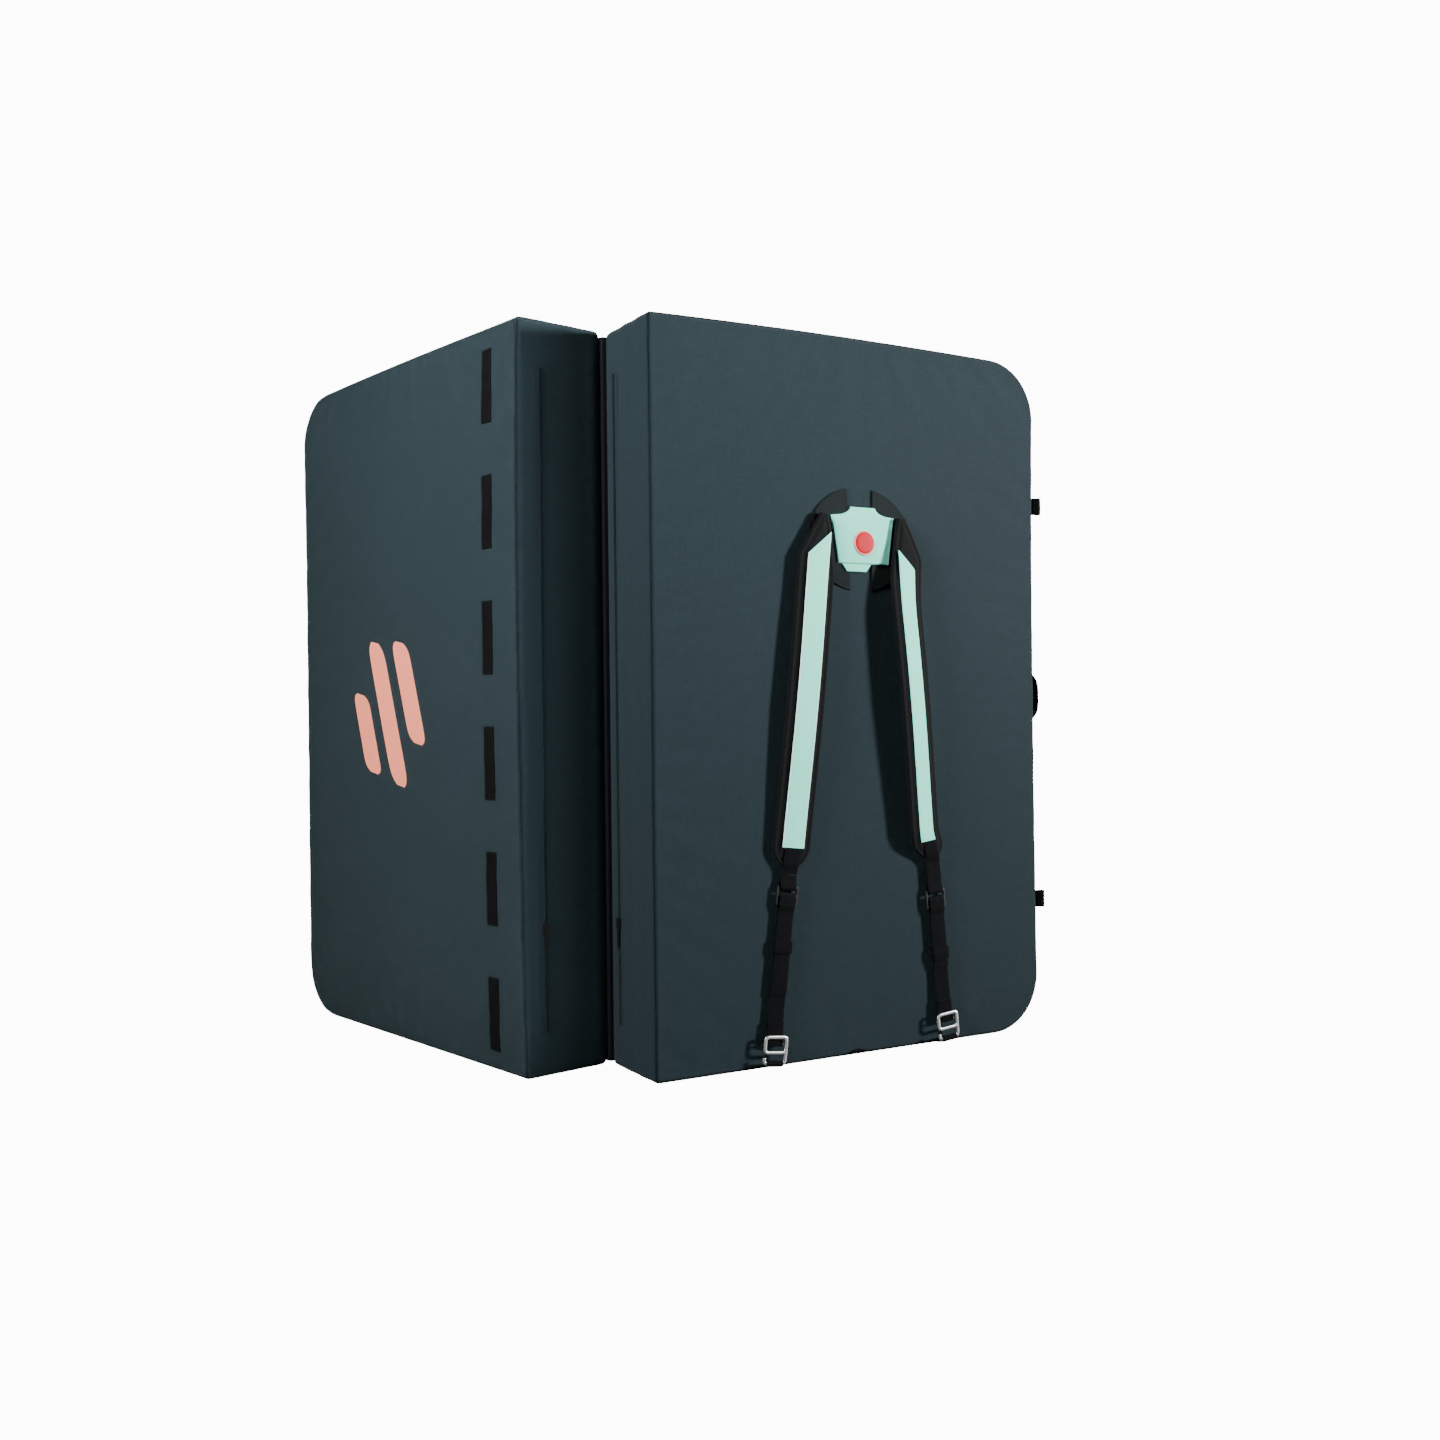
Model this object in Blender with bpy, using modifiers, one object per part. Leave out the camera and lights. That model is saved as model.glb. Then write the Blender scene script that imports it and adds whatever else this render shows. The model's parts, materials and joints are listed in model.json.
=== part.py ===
# Bouldering crash pad: two foam panels in fabric covers, hinged along one edge,
# standing on end and part folded, with a shoulder harness on one panel.
# Metres, +Z up. The origin is the middle of the harness panel's foot wall.
# A panel's own measures are u (from the fold towards the free edge), v (up) and
# d (from the landing face towards the outer face).

import math

import bmesh
import bpy
import numpy as np
from mathutils import Matrix, Vector

# Overall sizes
PANEL_WIDTH = 0.650
PANEL_HEIGHT = 1.000
PANEL_THICKNESS = 0.130
FOLD_FROM_FLAT = math.radians(78.5)
SPINE_SETBACK = 0.003
LANDING_SETBACK = 0.002
FREE_CORNER_RADIUS = 0.082
SPINE_CORNER_RADIUS = 0.007
FREE_EDGE_DRAW_IN = 0.0045
TOP_EDGE_DRAW_IN = 0.002
RIDGE_RADIUS = 0.006
OUTER_CROWN = 0.006
CROWN_POWER = 3

# Fabric, webbing and running clearances
FABRIC = 0.0012
GAP = 0.0003
SEWN_GAP = 0.0004
WEBBING = 0.0016
WEBBING_WIDTH = 0.025
HEM_INSET = 0.0015
FOAM_INSET = 0.0032
BASE_FOAM_INSET = 0.0095

# Foam stack, from the landing face
TOP_FOAM = 0.020
CORE_FOAM = 0.090

# Hinge strip
LEAF_WIDTH = 0.038
LEAF_THICKNESS = 0.0012
LEAF_END_INSET = 0.016
BEAD_RADIUS = 0.0009

# Zips on the spine walls
ZIP_END_INSET = 0.060
ZIP_TAPE_WIDTH = 0.022
ZIP_TAPE = 0.0005
ZIP_COIL_WIDTH = 0.0064
ZIP_COIL = 0.0014
SLIDER_LENGTH = 0.014
SLIDER_WIDTH = 0.0105
SLIDER_ROOF = 0.0009
SLIDER_HEIGHT = 0.190
PULL_LENGTH = 0.026
PULL_WIDTH = 0.006
HARNESS_ZIP_DEPTH = 0.029
STRIP_ZIP_DEPTH = 0.100

# Hook-and-loop strips on the strip panel
STRIP_COUNT = 6
STRIP_WIDTH = 0.025
STRIP_LENGTH = 0.100
STRIP_FOOT_CENTRE = 0.0765
STRIP_TOP_INSET = 0.0760
STRIP_FROM_FOLD = 0.0755
STRIP_THICKNESS = 0.0014

# Yoke on the harness panel
YOKE_DROP = 0.2800
HARNESS_MIDDLE = 0.3245
PATCH_HALF_WIDTH = 0.087
PATCH_HALF_HEIGHT = 0.0725
PATCH_SLOT_TOP = 0.043
PATCH_SLOT_FOOT = 0.034
PATCH_THICKNESS = 0.0015
ANCHOR_THICKNESS = 0.0020
ANCHOR_WIDTH = 0.020
ANCHOR_LENGTH = 0.046
PLATE_SHIFT = 0.0030
PLATE_TOP_HALF = 0.0210
PLATE_WING_HALF = 0.0535
PLATE_SIDE_HALF = 0.0500
PLATE_FOOT_HALF = 0.0435
PLATE_TOP = 0.0450
PLATE_WING = 0.0320
PLATE_WING_DROP = 0.0190
PLATE_FOOT = 0.0340
PLATE_THICKNESS = 0.0018
TAB_TOP_HALF = 0.0255
TAB_FOOT_HALF = 0.0165
TAB_DEPTH = 0.0110
BADGE_RADIUS = 0.0175
BADGE_DROP = 0.0050
BADGE_THICKNESS = 0.0020

# Shoulder straps
STRAP_ROOT_RISE = 0.033
STRAP_ROOT_SPREAD = 0.0705
LEFT_SPLAY_SHARE = 0.112
RIGHT_SPLAY_SHARE = 0.096
STRAP_WIDTH = 0.060
STRAP_TIP_WIDTH = 0.012
STRAP_TIP_REACH = 0.0120
STRAP_SHOULDER_REACH = 0.0180
STRAP_SHOULDER = 0.020
STRAP_BROAD = 0.085
STRAP_DIAGONAL = 0.062
STRAP_THICKNESS = 0.010
STRAP_RUN = 0.2232
STRAP_TAPER = 0.035
STRAP_FOOT_THICKNESS = 0.0062
STRAP_BOW = 0.005
FACING_WIDTH = 0.034
FACING_THICKNESS = 0.0014
HOOK_LINE_HEIGHT = 0.0338
HOOK_LINE_STANDOFF = 0.0092
# Lock, keeper and tail, as shares of the webbing's way from the hook up to the pad's foot
LEFT_RUN_SHARES = (0.9250, 0.5708, 0.2925)
RIGHT_RUN_SHARES = (0.8315, 0.4294, 0.3455)
FACING_TOP = 0.025
FACING_TIP_WIDTH = 0.0012
STRAP_FOOT_SHARE = 0.92
ROUNDING_SHARE = 0.9
EDGE_SHARE = 1 / 3
TURN_SHARE = 2
SETTLE_SHARE = 3
HOOK_SETTLE_SHARE = 4
FOLD_BACK = 0.030
LAYER_GAP = 0.0005
KEEPER_LENGTH = 0.017
KEEPER_WIDTH = 0.030
KEEPER_THICKNESS = 0.0012

# Ladder lock and G-hook
LOCK_WIDTH = 0.034
LOCK_BAR = 0.0036
LOCK_SLOT = 0.0076
LOCK_RAIL = 0.0030
LOCK_THICKNESS = 0.0034
HOOK_WIDTH = 0.038
HOOK_WINDOW = 0.0157
HOOK_MOUTH = 0.0095
HOOK_BAR = 0.0050
HOOK_THICKNESS = 0.0034
HOOK_TIP_SHARE = 0.55
HOOK_CORNER_SHARE = 1.2
HOOK_INNER_SHARE = 0.45
HOOK_EDGE = 0.0007
REAR_BAR_RADIUS = 0.0013
BAR_CLEARANCE = 0.0004

# Sewn loops, handles and closure straps
LOOP_LEG = 0.0012
LOOP_SEAM_RADIUS = 0.0009
LOOP_MOUTH = 0.0082
LOOP_REACH = 0.0075
CLOSURE_SEAM_ANGLE = 20
HOOK_SEAM_ANGLE = 70
CLOSURE_LOW = 0.1945
CLOSURE_TOP_INSET = 0.213
CARRY_LENGTH = 0.094
CARRY_RISE = 0.0115
CARRY_FOOT = 0.014
HAUL_LENGTH = 0.096
HAUL_WIDTH = 0.010
HAUL_RISE = 0.0024
HAUL_FLOOR = 0.0014
HAUL_SHIFT = 0.0130
CLOSURE_ROOT_DEPTH = 0.030
CLOSURE_STRAP_LENGTH = 0.052
CLOSURE_STANDOFF = 0.0044
CLOSURE_TACK = 0.024

# Mesh finesse
CORNER_STEPS = 6
SIDE_STEPS = 6
FACE_RING_SHARES = (0.10, 0.26, 0.48, 0.74)
PAD_STATIONS = 18
TAPER_STATIONS = 5
CARRY_STATIONS = 15
CARRY_POWER = 4
BEND_STEPS = 8

# Worked out from the sizes above
HINGE_X = -PANEL_WIDTH / 2 - SPINE_SETBACK
HINGE_Y = PANEL_THICKNESS / 2 + LANDING_SETBACK
TRAY_DEPTH = PANEL_THICKNESS - FABRIC - GAP
ZIP_RUN = PANEL_HEIGHT - 2 * ZIP_END_INSET
STRIP_PITCH = (PANEL_HEIGHT - STRIP_FOOT_CENTRE - STRIP_TOP_INSET) / (STRIP_COUNT - 1)
YOKE_HEIGHT = PANEL_HEIGHT - YOKE_DROP
STRAP_ROOT_HEIGHT = YOKE_HEIGHT + STRAP_ROOT_RISE
STRAP_PAD_LENGTH = STRAP_ROOT_HEIGHT - HOOK_LINE_HEIGHT - STRAP_RUN
CLOSURE_HIGH = PANEL_HEIGHT - CLOSURE_TOP_INSET
CARRY_HEIGHT = PANEL_HEIGHT / 2

part_collection = bpy.data.collections.new("bouldering_crash_pad")


def clear_scene():
    for old in list(bpy.data.objects):
        bpy.data.objects.remove(old, do_unlink=True)
    bpy.context.scene.collection.children.link(part_collection)


def material(name, colour, roughness, metallic=0.0):
    found = bpy.data.materials.get(name)
    if found:
        return found
    made = bpy.data.materials.new(name)
    made.use_nodes = True
    shader = made.node_tree.nodes["Principled BSDF"]
    shader.inputs["Base Color"].default_value = (*colour, 1.0)
    shader.inputs["Roughness"].default_value = roughness
    shader.inputs["Metallic"].default_value = metallic
    return made


FINISHES = {
    "canvas": ((0.042, 0.063, 0.073), 0.85, 0.0),
    "spine_canvas": ((0.018, 0.028, 0.032), 0.85, 0.0),
    "landing": ((0.030, 0.042, 0.048), 0.80, 0.0),
    "foam": ((0.62, 0.60, 0.52), 0.95, 0.0),
    "black_webbing": ((0.011, 0.011, 0.012), 0.80, 0.0),
    "patch": ((0.030, 0.042, 0.046), 0.75, 0.0),
    "mint": ((0.50, 0.71, 0.64), 0.70, 0.0),
    "badge": ((0.62, 0.075, 0.085), 0.50, 0.0),
    "metal": ((0.72, 0.73, 0.74), 0.30, 1.0),
    "black_plastic": ((0.010, 0.010, 0.011), 0.45, 0.0),
}


def finish(obj, name, parent=None):
    """Gives the object its finish, its collection and its parent."""
    obj.data.materials.clear()
    obj.data.materials.append(material(name, *FINISHES[name]))
    for owner in list(obj.users_collection):
        owner.objects.unlink(obj)
    part_collection.objects.link(obj)
    if parent:
        obj.parent = parent
    return obj


def frame_empty(name, matrix, parent=None):
    empty = bpy.data.objects.new(name, None)
    part_collection.objects.link(empty)
    empty.parent = parent
    empty.matrix_basis = matrix
    return empty


def mesh_object(name, build):
    """Makes a mesh from a function that fills a bmesh, with faces pointing out."""
    bm = bmesh.new()
    build(bm)
    bmesh.ops.recalc_face_normals(bm, faces=bm.faces)
    mesh = bpy.data.meshes.new(name)
    bm.to_mesh(mesh)
    bm.free()
    obj = bpy.data.objects.new(name, mesh)
    part_collection.objects.link(obj)
    return obj


def skin(bm, sections, closed_path=False, cap=True):
    """Joins rings of equal length into a wall, with flat ends unless it closes."""
    rings = [[bm.verts.new(point) for point in section] for section in sections]
    pairs = list(zip(rings, rings[1:]))
    if closed_path:
        pairs.append((rings[-1], rings[0]))
    for low, high in pairs:
        count = len(low)
        for i in range(count):
            j = (i + 1) % count
            bm.faces.new((low[i], low[j], high[j], high[i]))
    if cap and not closed_path:
        bm.faces.new(list(reversed(rings[0])))
        bm.faces.new(rings[-1])
    return rings


def plate_curve(name, outlines, thickness, edge=0.0):
    """Fills flat outlines (a rim and its holes) and gives them a thickness, as a mesh."""
    curve = bpy.data.curves.new(name, "CURVE")
    curve.dimensions = "2D"
    curve.fill_mode = "BOTH"
    curve.extrude = thickness / 2 - edge
    curve.bevel_depth = edge
    curve.bevel_resolution = 1
    curve.offset = -edge
    for outline in outlines:
        spline = curve.splines.new("POLY")
        spline.points.add(len(outline) - 1)
        for point, (x, y) in zip(spline.points, outline):
            point.co = (x, y, 0, 1)
        spline.use_cyclic_u = True
    flat = bpy.data.objects.new(name + "_curve", curve)
    part_collection.objects.link(flat)
    bpy.context.view_layer.update()
    evaluated = flat.evaluated_get(bpy.context.evaluated_depsgraph_get())
    mesh = bpy.data.meshes.new_from_object(evaluated)
    bpy.data.objects.remove(flat)
    bpy.data.curves.remove(curve)
    bm = bmesh.new()
    bm.from_mesh(mesh)
    bmesh.ops.remove_doubles(bm, verts=bm.verts, dist=GAP / 10)
    bmesh.ops.recalc_face_normals(bm, faces=bm.faces)
    bm.to_mesh(mesh)
    bm.free()
    obj = bpy.data.objects.new(name, mesh)
    part_collection.objects.link(obj)
    return obj


def arc(centre, radius, start, end, steps):
    """Points on a round stretch; angles in degrees, both ends included."""
    angles = np.radians(np.linspace(start, end, steps + 1))
    return [(centre[0] + radius * math.cos(a), centre[1] + radius * math.sin(a)) for a in angles]


def rounded_box(low_x, low_y, high_x, high_y, radius, steps=3):
    return (
        arc((high_x - radius, low_y + radius), radius, -90, 0, steps)
        + arc((high_x - radius, high_y - radius), radius, 0, 90, steps)
        + arc((low_x + radius, high_y - radius), radius, 90, 180, steps)
        + arc((low_x + radius, low_y + radius), radius, 180, 270, steps)
    )


# The panel: its outline, its crown and its place beside the fold

def crown(u, v):
    """Height of the outer face over its rim, flat in the middle and falling off near the rim."""
    across = 1 - abs(2 * u / PANEL_WIDTH - 1) ** CROWN_POWER
    along = 1 - abs(2 * v / PANEL_HEIGHT - 1) ** CROWN_POWER
    return OUTER_CROWN * max(across, 0) * max(along, 0)


def panel_outline(inset=0.0):
    """Rim of a panel in u and v: round free corners, small spine corners, and edges
    that the fabric's pull draws in between the corners, all but the foot."""
    free = FREE_CORNER_RADIUS - inset
    spine = max(SPINE_CORNER_RADIUS - inset, SPINE_CORNER_RADIUS / 4)
    left, right = inset, PANEL_WIDTH - inset
    foot, top = inset, PANEL_HEIGHT - inset
    corners = [
        ((right - free, foot + free), free, -90),
        ((right - free, top - free), free, 0),
        ((left + spine, top - spine), spine, 90),
        ((left + spine, foot + spine), spine, 180),
    ]
    points = []
    for index, (centre, radius, start) in enumerate(corners):
        points += arc(centre, radius, start, start + 90, CORNER_STEPS)
        following = corners[(index + 1) % len(corners)]
        begin = Vector(points[-1])
        end = Vector(arc(following[0], following[1], following[2], following[2] + 90, 1)[0])
        for step in range(1, SIDE_STEPS):
            share = step / SIDE_STEPS
            pull = 4 * share * (1 - share)
            spot = begin.lerp(end, share)
            if index == 0:
                spot.x -= FREE_EDGE_DRAW_IN * pull
            if index == 1:
                spot.y -= TOP_EDGE_DRAW_IN * pull
            points.append((spot.x, spot.y))
    return points


def place(side, u, v, d):
    """A panel point in the fold's frame: side is 1 for the harness panel, -1 for the strip panel."""
    return Vector((side * (SPINE_SETBACK + u), -(LANDING_SETBACK + d), v))


def outer(side, u, v, lift=0.0):
    """A point over the crowned outer face."""
    return place(side, u, v, PANEL_THICKNESS + crown(u, v) + lift)


def cover_tray(name, side, parent):
    """Outer face and four walls in one piece of fabric, open on the landing side."""
    centre = Vector((PANEL_WIDTH / 2, PANEL_HEIGHT / 2))

    def build(bm):
        sections = []
        for depth in (PANEL_THICKNESS - TRAY_DEPTH, PANEL_THICKNESS - RIDGE_RADIUS):
            sections.append([place(side, u, v, depth) for u, v in panel_outline()])
        for degrees in (45, 90):
            angle = math.radians(degrees)
            inset = RIDGE_RADIUS * (1 - math.cos(angle))
            depth = PANEL_THICKNESS - RIDGE_RADIUS * (1 - math.sin(angle))
            sections.append([place(side, u, v, depth) for u, v in panel_outline(inset)])
        rim = panel_outline(RIDGE_RADIUS)
        for share in FACE_RING_SHARES:
            ring = [Vector(point).lerp(centre, share) for point in rim]
            sections.append([outer(side, spot.x, spot.y) for spot in ring])
        rings = skin(bm, sections, cap=False)
        tip = bm.verts.new(outer(side, centre.x, centre.y))
        last = rings[-1]
        for i, vert in enumerate(last):
            bm.faces.new((vert, last[(i + 1) % len(last)], tip))

    obj = mesh_object(name, build)
    middle = obj.data.polygons[len(obj.data.polygons) - 1]
    if middle.normal.y > 0:
        obj.data.flip_normals()
    wall = obj.modifiers.new("fabric", "SOLIDIFY")
    wall.thickness = FABRIC
    wall.offset = -1
    wall.use_even_offset = True
    return finish(obj, "canvas", parent)


def slab(name, side, low_depth, high_depth, inset, look, parent):
    """A flat sheet with the panel's outline, between two depths."""

    def build(bm):
        outline = panel_outline(inset)
        skin(bm, [[place(side, u, v, depth) for u, v in outline] for depth in (low_depth, high_depth)])

    return finish(mesh_object(name, build), look, parent)


def foams(prefix, side, parent):
    start = PANEL_THICKNESS - TRAY_DEPTH + GAP
    slab(prefix + "_top_foam", side, start, start + TOP_FOAM, FOAM_INSET, "foam", parent)
    start += TOP_FOAM + GAP
    slab(prefix + "_core_foam", side, start, start + CORE_FOAM, FOAM_INSET, "foam", parent)
    start += CORE_FOAM + GAP
    end = PANEL_THICKNESS - FABRIC - 2 * GAP
    slab(prefix + "_base_foam", side, start, end, BASE_FOAM_INSET, "foam", parent)


# Bands: webbing, straps and thin pieces carried along a path

def band(name, frames, thickness, closed=False, rounding=0.0):
    """Carries a flat section along frames of (point, side vector, up vector, low, high).
    low and high are the section's reach along the side vector; thickness may be a list."""

    def build(bm):
        sections = []
        for index, (point, across, up, low, high) in enumerate(frames):
            half = (thickness[index] if isinstance(thickness, list) else thickness) / 2
            if rounding:
                cut = min(rounding, half * ROUNDING_SHARE, (high - low) * EDGE_SHARE)
                profile = [
                    (low, -half + cut), (low + cut, -half), (high - cut, -half), (high, -half + cut),
                    (high, half - cut), (high - cut, half), (low + cut, half), (low, half - cut),
                ]
            else:
                profile = [(low, -half), (high, -half), (high, half), (low, half)]
            sections.append([point + across * x + up * y for x, y in profile])
        skin(bm, sections, closed_path=closed)

    return mesh_object(name, build)


def flat_frames(points, across, low, high, closed=False):
    """Frames along points of one plane; up is square to the path and to across."""
    count = len(points)
    frames = []
    for i, point in enumerate(points):
        before = points[(i - 1) % count] if closed or i else points[0]
        after = points[(i + 1) % count] if closed or i < count - 1 else points[-1]
        along = (after - before).normalized()
        frames.append((point, across, across.cross(along).normalized(), low, high))
    return frames


def hook_loop_strips(parent):
    for index in range(STRIP_COUNT):
        centre = STRIP_FOOT_CENTRE + index * STRIP_PITCH
        heights = np.linspace(centre - STRIP_LENGTH / 2, centre + STRIP_LENGTH / 2, 5)
        lift = GAP + STRIP_THICKNESS / 2
        frames = []
        for v in heights:
            low = outer(-1, STRIP_FROM_FOLD - STRIP_WIDTH / 2, v, lift)
            high = outer(-1, STRIP_FROM_FOLD + STRIP_WIDTH / 2, v, lift)
            across = (high - low).normalized()
            up = Vector((0, 0, 1)).cross(across).normalized()
            frames.append(((low + high) / 2, across, up, -STRIP_WIDTH / 2, STRIP_WIDTH / 2))
        obj = band("hook_loop_strip_%d" % (index + 1), frames, STRIP_THICKNESS)
        finish(obj, "black_webbing", parent)


def zip_fastener(prefix, side, depth, parent):
    """Tape, coil and slider on the spine wall, with the slider's empty on its run."""

    def wall_box(name, low, high, width):
        def build(bm):
            bmesh.ops.create_cube(bm, size=1.0)
            scale = Matrix.Diagonal((high - low, width, ZIP_RUN, 1))
            shift = Matrix.Translation((
                side * (SPINE_SETBACK - (low + high) / 2),
                -(LANDING_SETBACK + depth),
                PANEL_HEIGHT / 2,
            ))
            bmesh.ops.transform(bm, matrix=shift @ scale, verts=bm.verts)
        return mesh_object(name, build)

    tape = wall_box(prefix + "_zip_tape", GAP, GAP + ZIP_TAPE, ZIP_TAPE_WIDTH)
    finish(tape, "black_webbing", parent)
    coil_low = 2 * GAP + ZIP_TAPE
    coil = wall_box(prefix + "_zip_coil", coil_low, coil_low + ZIP_COIL, ZIP_COIL_WIDTH)
    finish(coil, "black_plastic", parent)

    roof = coil_low + ZIP_COIL + GAP
    foot = SLIDER_HEIGHT
    half = SLIDER_WIDTH / 2
    inner = ZIP_COIL_WIDTH / 2 + GAP
    channel = [
        (coil_low, -half), (coil_low, -inner), (roof, -inner), (roof, inner),
        (coil_low, inner), (coil_low, half), (roof + SLIDER_ROOF, half), (roof + SLIDER_ROOF, -half),
    ]

    def build(bm):
        sections = []
        for v in (foot, foot + SLIDER_LENGTH):
            sections.append([place(side, -out, v, depth + over) for out, over in channel])
        skin(bm, sections)
        pull = bmesh.ops.create_cube(bm, size=1.0)["verts"]
        scale = Matrix.Diagonal((SLIDER_ROOF, PULL_WIDTH, PULL_LENGTH, 1))
        out = roof + SLIDER_ROOF - SLIDER_ROOF / 2
        shift = Matrix.Translation((
            side * (SPINE_SETBACK - out), -(LANDING_SETBACK + depth), foot - PULL_LENGTH / 2 + GAP))
        bmesh.ops.transform(bm, matrix=shift @ scale, verts=pull)

    slider = mesh_object(prefix + "_zip_slider", build)
    join_bodies(slider)
    return finish(slider, "metal", parent)


def join_bodies(obj):
    """Unites the loose shells of one mesh into one body."""
    bm = bmesh.new()
    bm.from_mesh(obj.data)
    seen = set()
    shells = []
    for start in bm.verts:
        if start.index in seen:
            continue
        stack, shell = [start], []
        seen.add(start.index)
        while stack:
            vert = stack.pop()
            shell.append(vert.index)
            for edge in vert.link_edges:
                other = edge.other_vert(vert)
                if other.index not in seen:
                    seen.add(other.index)
                    stack.append(other)
        shells.append(shell)
    pieces = []
    for shell in shells:
        part = bm.copy()
        part.verts.ensure_lookup_table()
        keep = set(shell)
        bmesh.ops.delete(part, geom=[v for v in part.verts if v.index not in keep], context="VERTS")
        mesh = bpy.data.meshes.new(obj.name + "_shell")
        part.to_mesh(mesh)
        part.free()
        piece = bpy.data.objects.new(mesh.name, mesh)
        part_collection.objects.link(piece)
        pieces.append(piece)
    bm.free()
    base = pieces[0]
    for piece in pieces[1:]:
        join = base.modifiers.new("join", "BOOLEAN")
        join.operation = "UNION"
        join.solver = "EXACT"
        join.object = piece
    bpy.context.view_layer.update()
    evaluated = base.evaluated_get(bpy.context.evaluated_depsgraph_get())
    old = obj.data
    obj.data = bpy.data.meshes.new_from_object(evaluated)
    obj.data.name = obj.name
    bpy.data.meshes.remove(old)
    for piece in pieces:
        bpy.data.objects.remove(piece, do_unlink=True)


def hinge_strip(harness_parent, strip_parent):
    """Two leaves of the fold fabric; the harness one carries the fold bead on the axis."""
    heights = (LEAF_END_INSET, PANEL_HEIGHT - LEAF_END_INSET)
    far = SPINE_SETBACK + LEAF_WIDTH
    under = -LANDING_SETBACK + GAP
    over = under + LEAF_THICKNESS
    near = BEAD_RADIUS * 2
    bead = arc((0, 0), BEAD_RADIUS, 30, 330, BEND_STEPS + 2)
    begin = BEAD_RADIUS + GAP
    outlines = {
        "harness": bead + [(near, under), (far, under), (far, over), (near, over)],
        "strip": [(-begin, under), (-begin, over), (-far, over), (-far, under)],
    }
    for prefix, parent in (("harness", harness_parent), ("strip", strip_parent)):
        sections = [[Vector((x, y, z)) for x, y in outlines[prefix]] for z in heights]
        leaf = mesh_object("hinge_leaf_" + prefix, lambda bm: skin(bm, sections))
        finish(leaf, "spine_canvas", parent)


# The yoke: patches, anchors, plate, tab and badge on the harness panel's outer face

def face_plate(name, outline, lift, thickness, look, parent):
    """A thin piece laid on the crowned outer face; outline is in u and v."""

    def build(bm):
        sections = []
        for height in (lift, lift + thickness):
            sections.append([outer(1, u, v, height) for u, v in outline])
        skin(bm, sections)

    return finish(mesh_object(name, build), look, parent)


def plate_edge():
    """Right half of the yoke plate's rim, from its top middle to its foot, about its centre."""
    rim = [(PLATE_TOP_HALF, PLATE_TOP)]
    reach = PLATE_WING_HALF - PLATE_TOP_HALF
    fall = PLATE_TOP - PLATE_WING
    for step in (1, 2, 3):
        turn = math.radians(90 * step / 4)
        rim.append((
            PLATE_TOP_HALF + reach * (1 - math.cos(turn)),
            PLATE_TOP - fall * math.sin(turn),
        ))
    rim += [(PLATE_WING_HALF, PLATE_WING)]
    rim += [(PLATE_SIDE_HALF, PLATE_WING - PLATE_WING_DROP), (PLATE_FOOT_HALF, -PLATE_FOOT)]
    return rim


def yoke(parent):
    """Patches, plate, tab and badge. Returns the height of the patches' top side."""
    middle, height = HARNESS_MIDDLE, YOKE_HEIGHT
    lift = SEWN_GAP
    for name, sign in (("patch_left", -1), ("patch_right", 1)):
        start = -math.degrees(math.acos(PATCH_SLOT_FOOT / 2 / PATCH_HALF_WIDTH))
        end = math.degrees(math.acos(PATCH_SLOT_TOP / 2 / PATCH_HALF_WIDTH))
        outline = []
        for a in np.radians(np.linspace(start, end, 15)):
            u = middle + sign * PATCH_HALF_WIDTH * math.cos(a)
            outline.append((u, height + PATCH_HALF_HEIGHT * math.sin(a)))
        face_plate(name, outline, lift, PATCH_THICKNESS, "patch", parent)
    lift += PATCH_THICKNESS + GAP
    middle += PLATE_SHIFT
    half = plate_edge()
    rim = half + [(-x, y) for x, y in reversed(half)]
    outline = [(middle + x, height + y) for x, y in rim]
    face_plate("yoke_plate", outline, lift, PLATE_THICKNESS, "mint", parent)
    top = -PLATE_FOOT - SEWN_GAP
    tab = [(TAB_TOP_HALF, top), (TAB_FOOT_HALF, top - TAB_DEPTH)]
    tab += [(-x, y) for x, y in reversed(tab)]
    outline = [(middle + x, height + y) for x, y in tab]
    face_plate("yoke_tab", outline, lift, PLATE_THICKNESS, "mint", parent)
    badge = arc((middle, height - BADGE_DROP), BADGE_RADIUS, 0, 360, 28)[:-1]
    badge_lift = lift + PLATE_THICKNESS + GAP
    face_plate("badge", badge, badge_lift, BADGE_THICKNESS, "badge", parent)
    return lift


# Straps: every piece lies in its strap's frame, whose origin is on the swing axis. The
# frame's x runs across the strap, y away from the panel and z from the hook to the root.

def belt(low, low_radius, high, high_radius, steps=BEND_STEPS):
    """A closed path round two circles, like a belt, in the plane's two coordinates."""
    heading = math.degrees(math.atan2(high[1] - low[1], high[0] - low[0]))
    apart = math.hypot(high[0] - low[0], high[1] - low[1])
    spread = math.degrees(math.acos((low_radius - high_radius) / apart))
    far = arc(high, high_radius, heading - spread, heading + spread, steps)
    near = arc(low, low_radius, heading + spread, heading + 360 - spread, steps)
    return far + near


def hairpin(bar, radius, far_z, half_gap):
    """A webbing path in y and z that comes along one side, turns round a bar and goes back.
    It opens towards far_z. half_gap is half the way between the two layers."""
    down = 1 if far_z < bar[1] else -1
    turn = [(y, bar[1] + down * (z - bar[1])) for y, z in arc(bar, radius, 0, 180, BEND_STEPS)]
    settle = bar[1] - down * radius * SETTLE_SHARE
    front = [(bar[0] + half_gap, far_z), (bar[0] + half_gap, settle)]
    rear = [(bar[0] - half_gap, settle), (bar[0] - half_gap, far_z)]
    return front + turn + rear


def strap_band(name, path, width, thickness, look, parent, closed=False):
    """Webbing along a path in the frame's y and z, as wide as width across the strap."""
    points = [Vector((0, y, z)) for y, z in path]
    frames = flat_frames(points, Vector((1, 0, 0)), -width / 2, width / 2, closed)
    return finish(band(name, frames, thickness, closed), look, parent)


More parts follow.
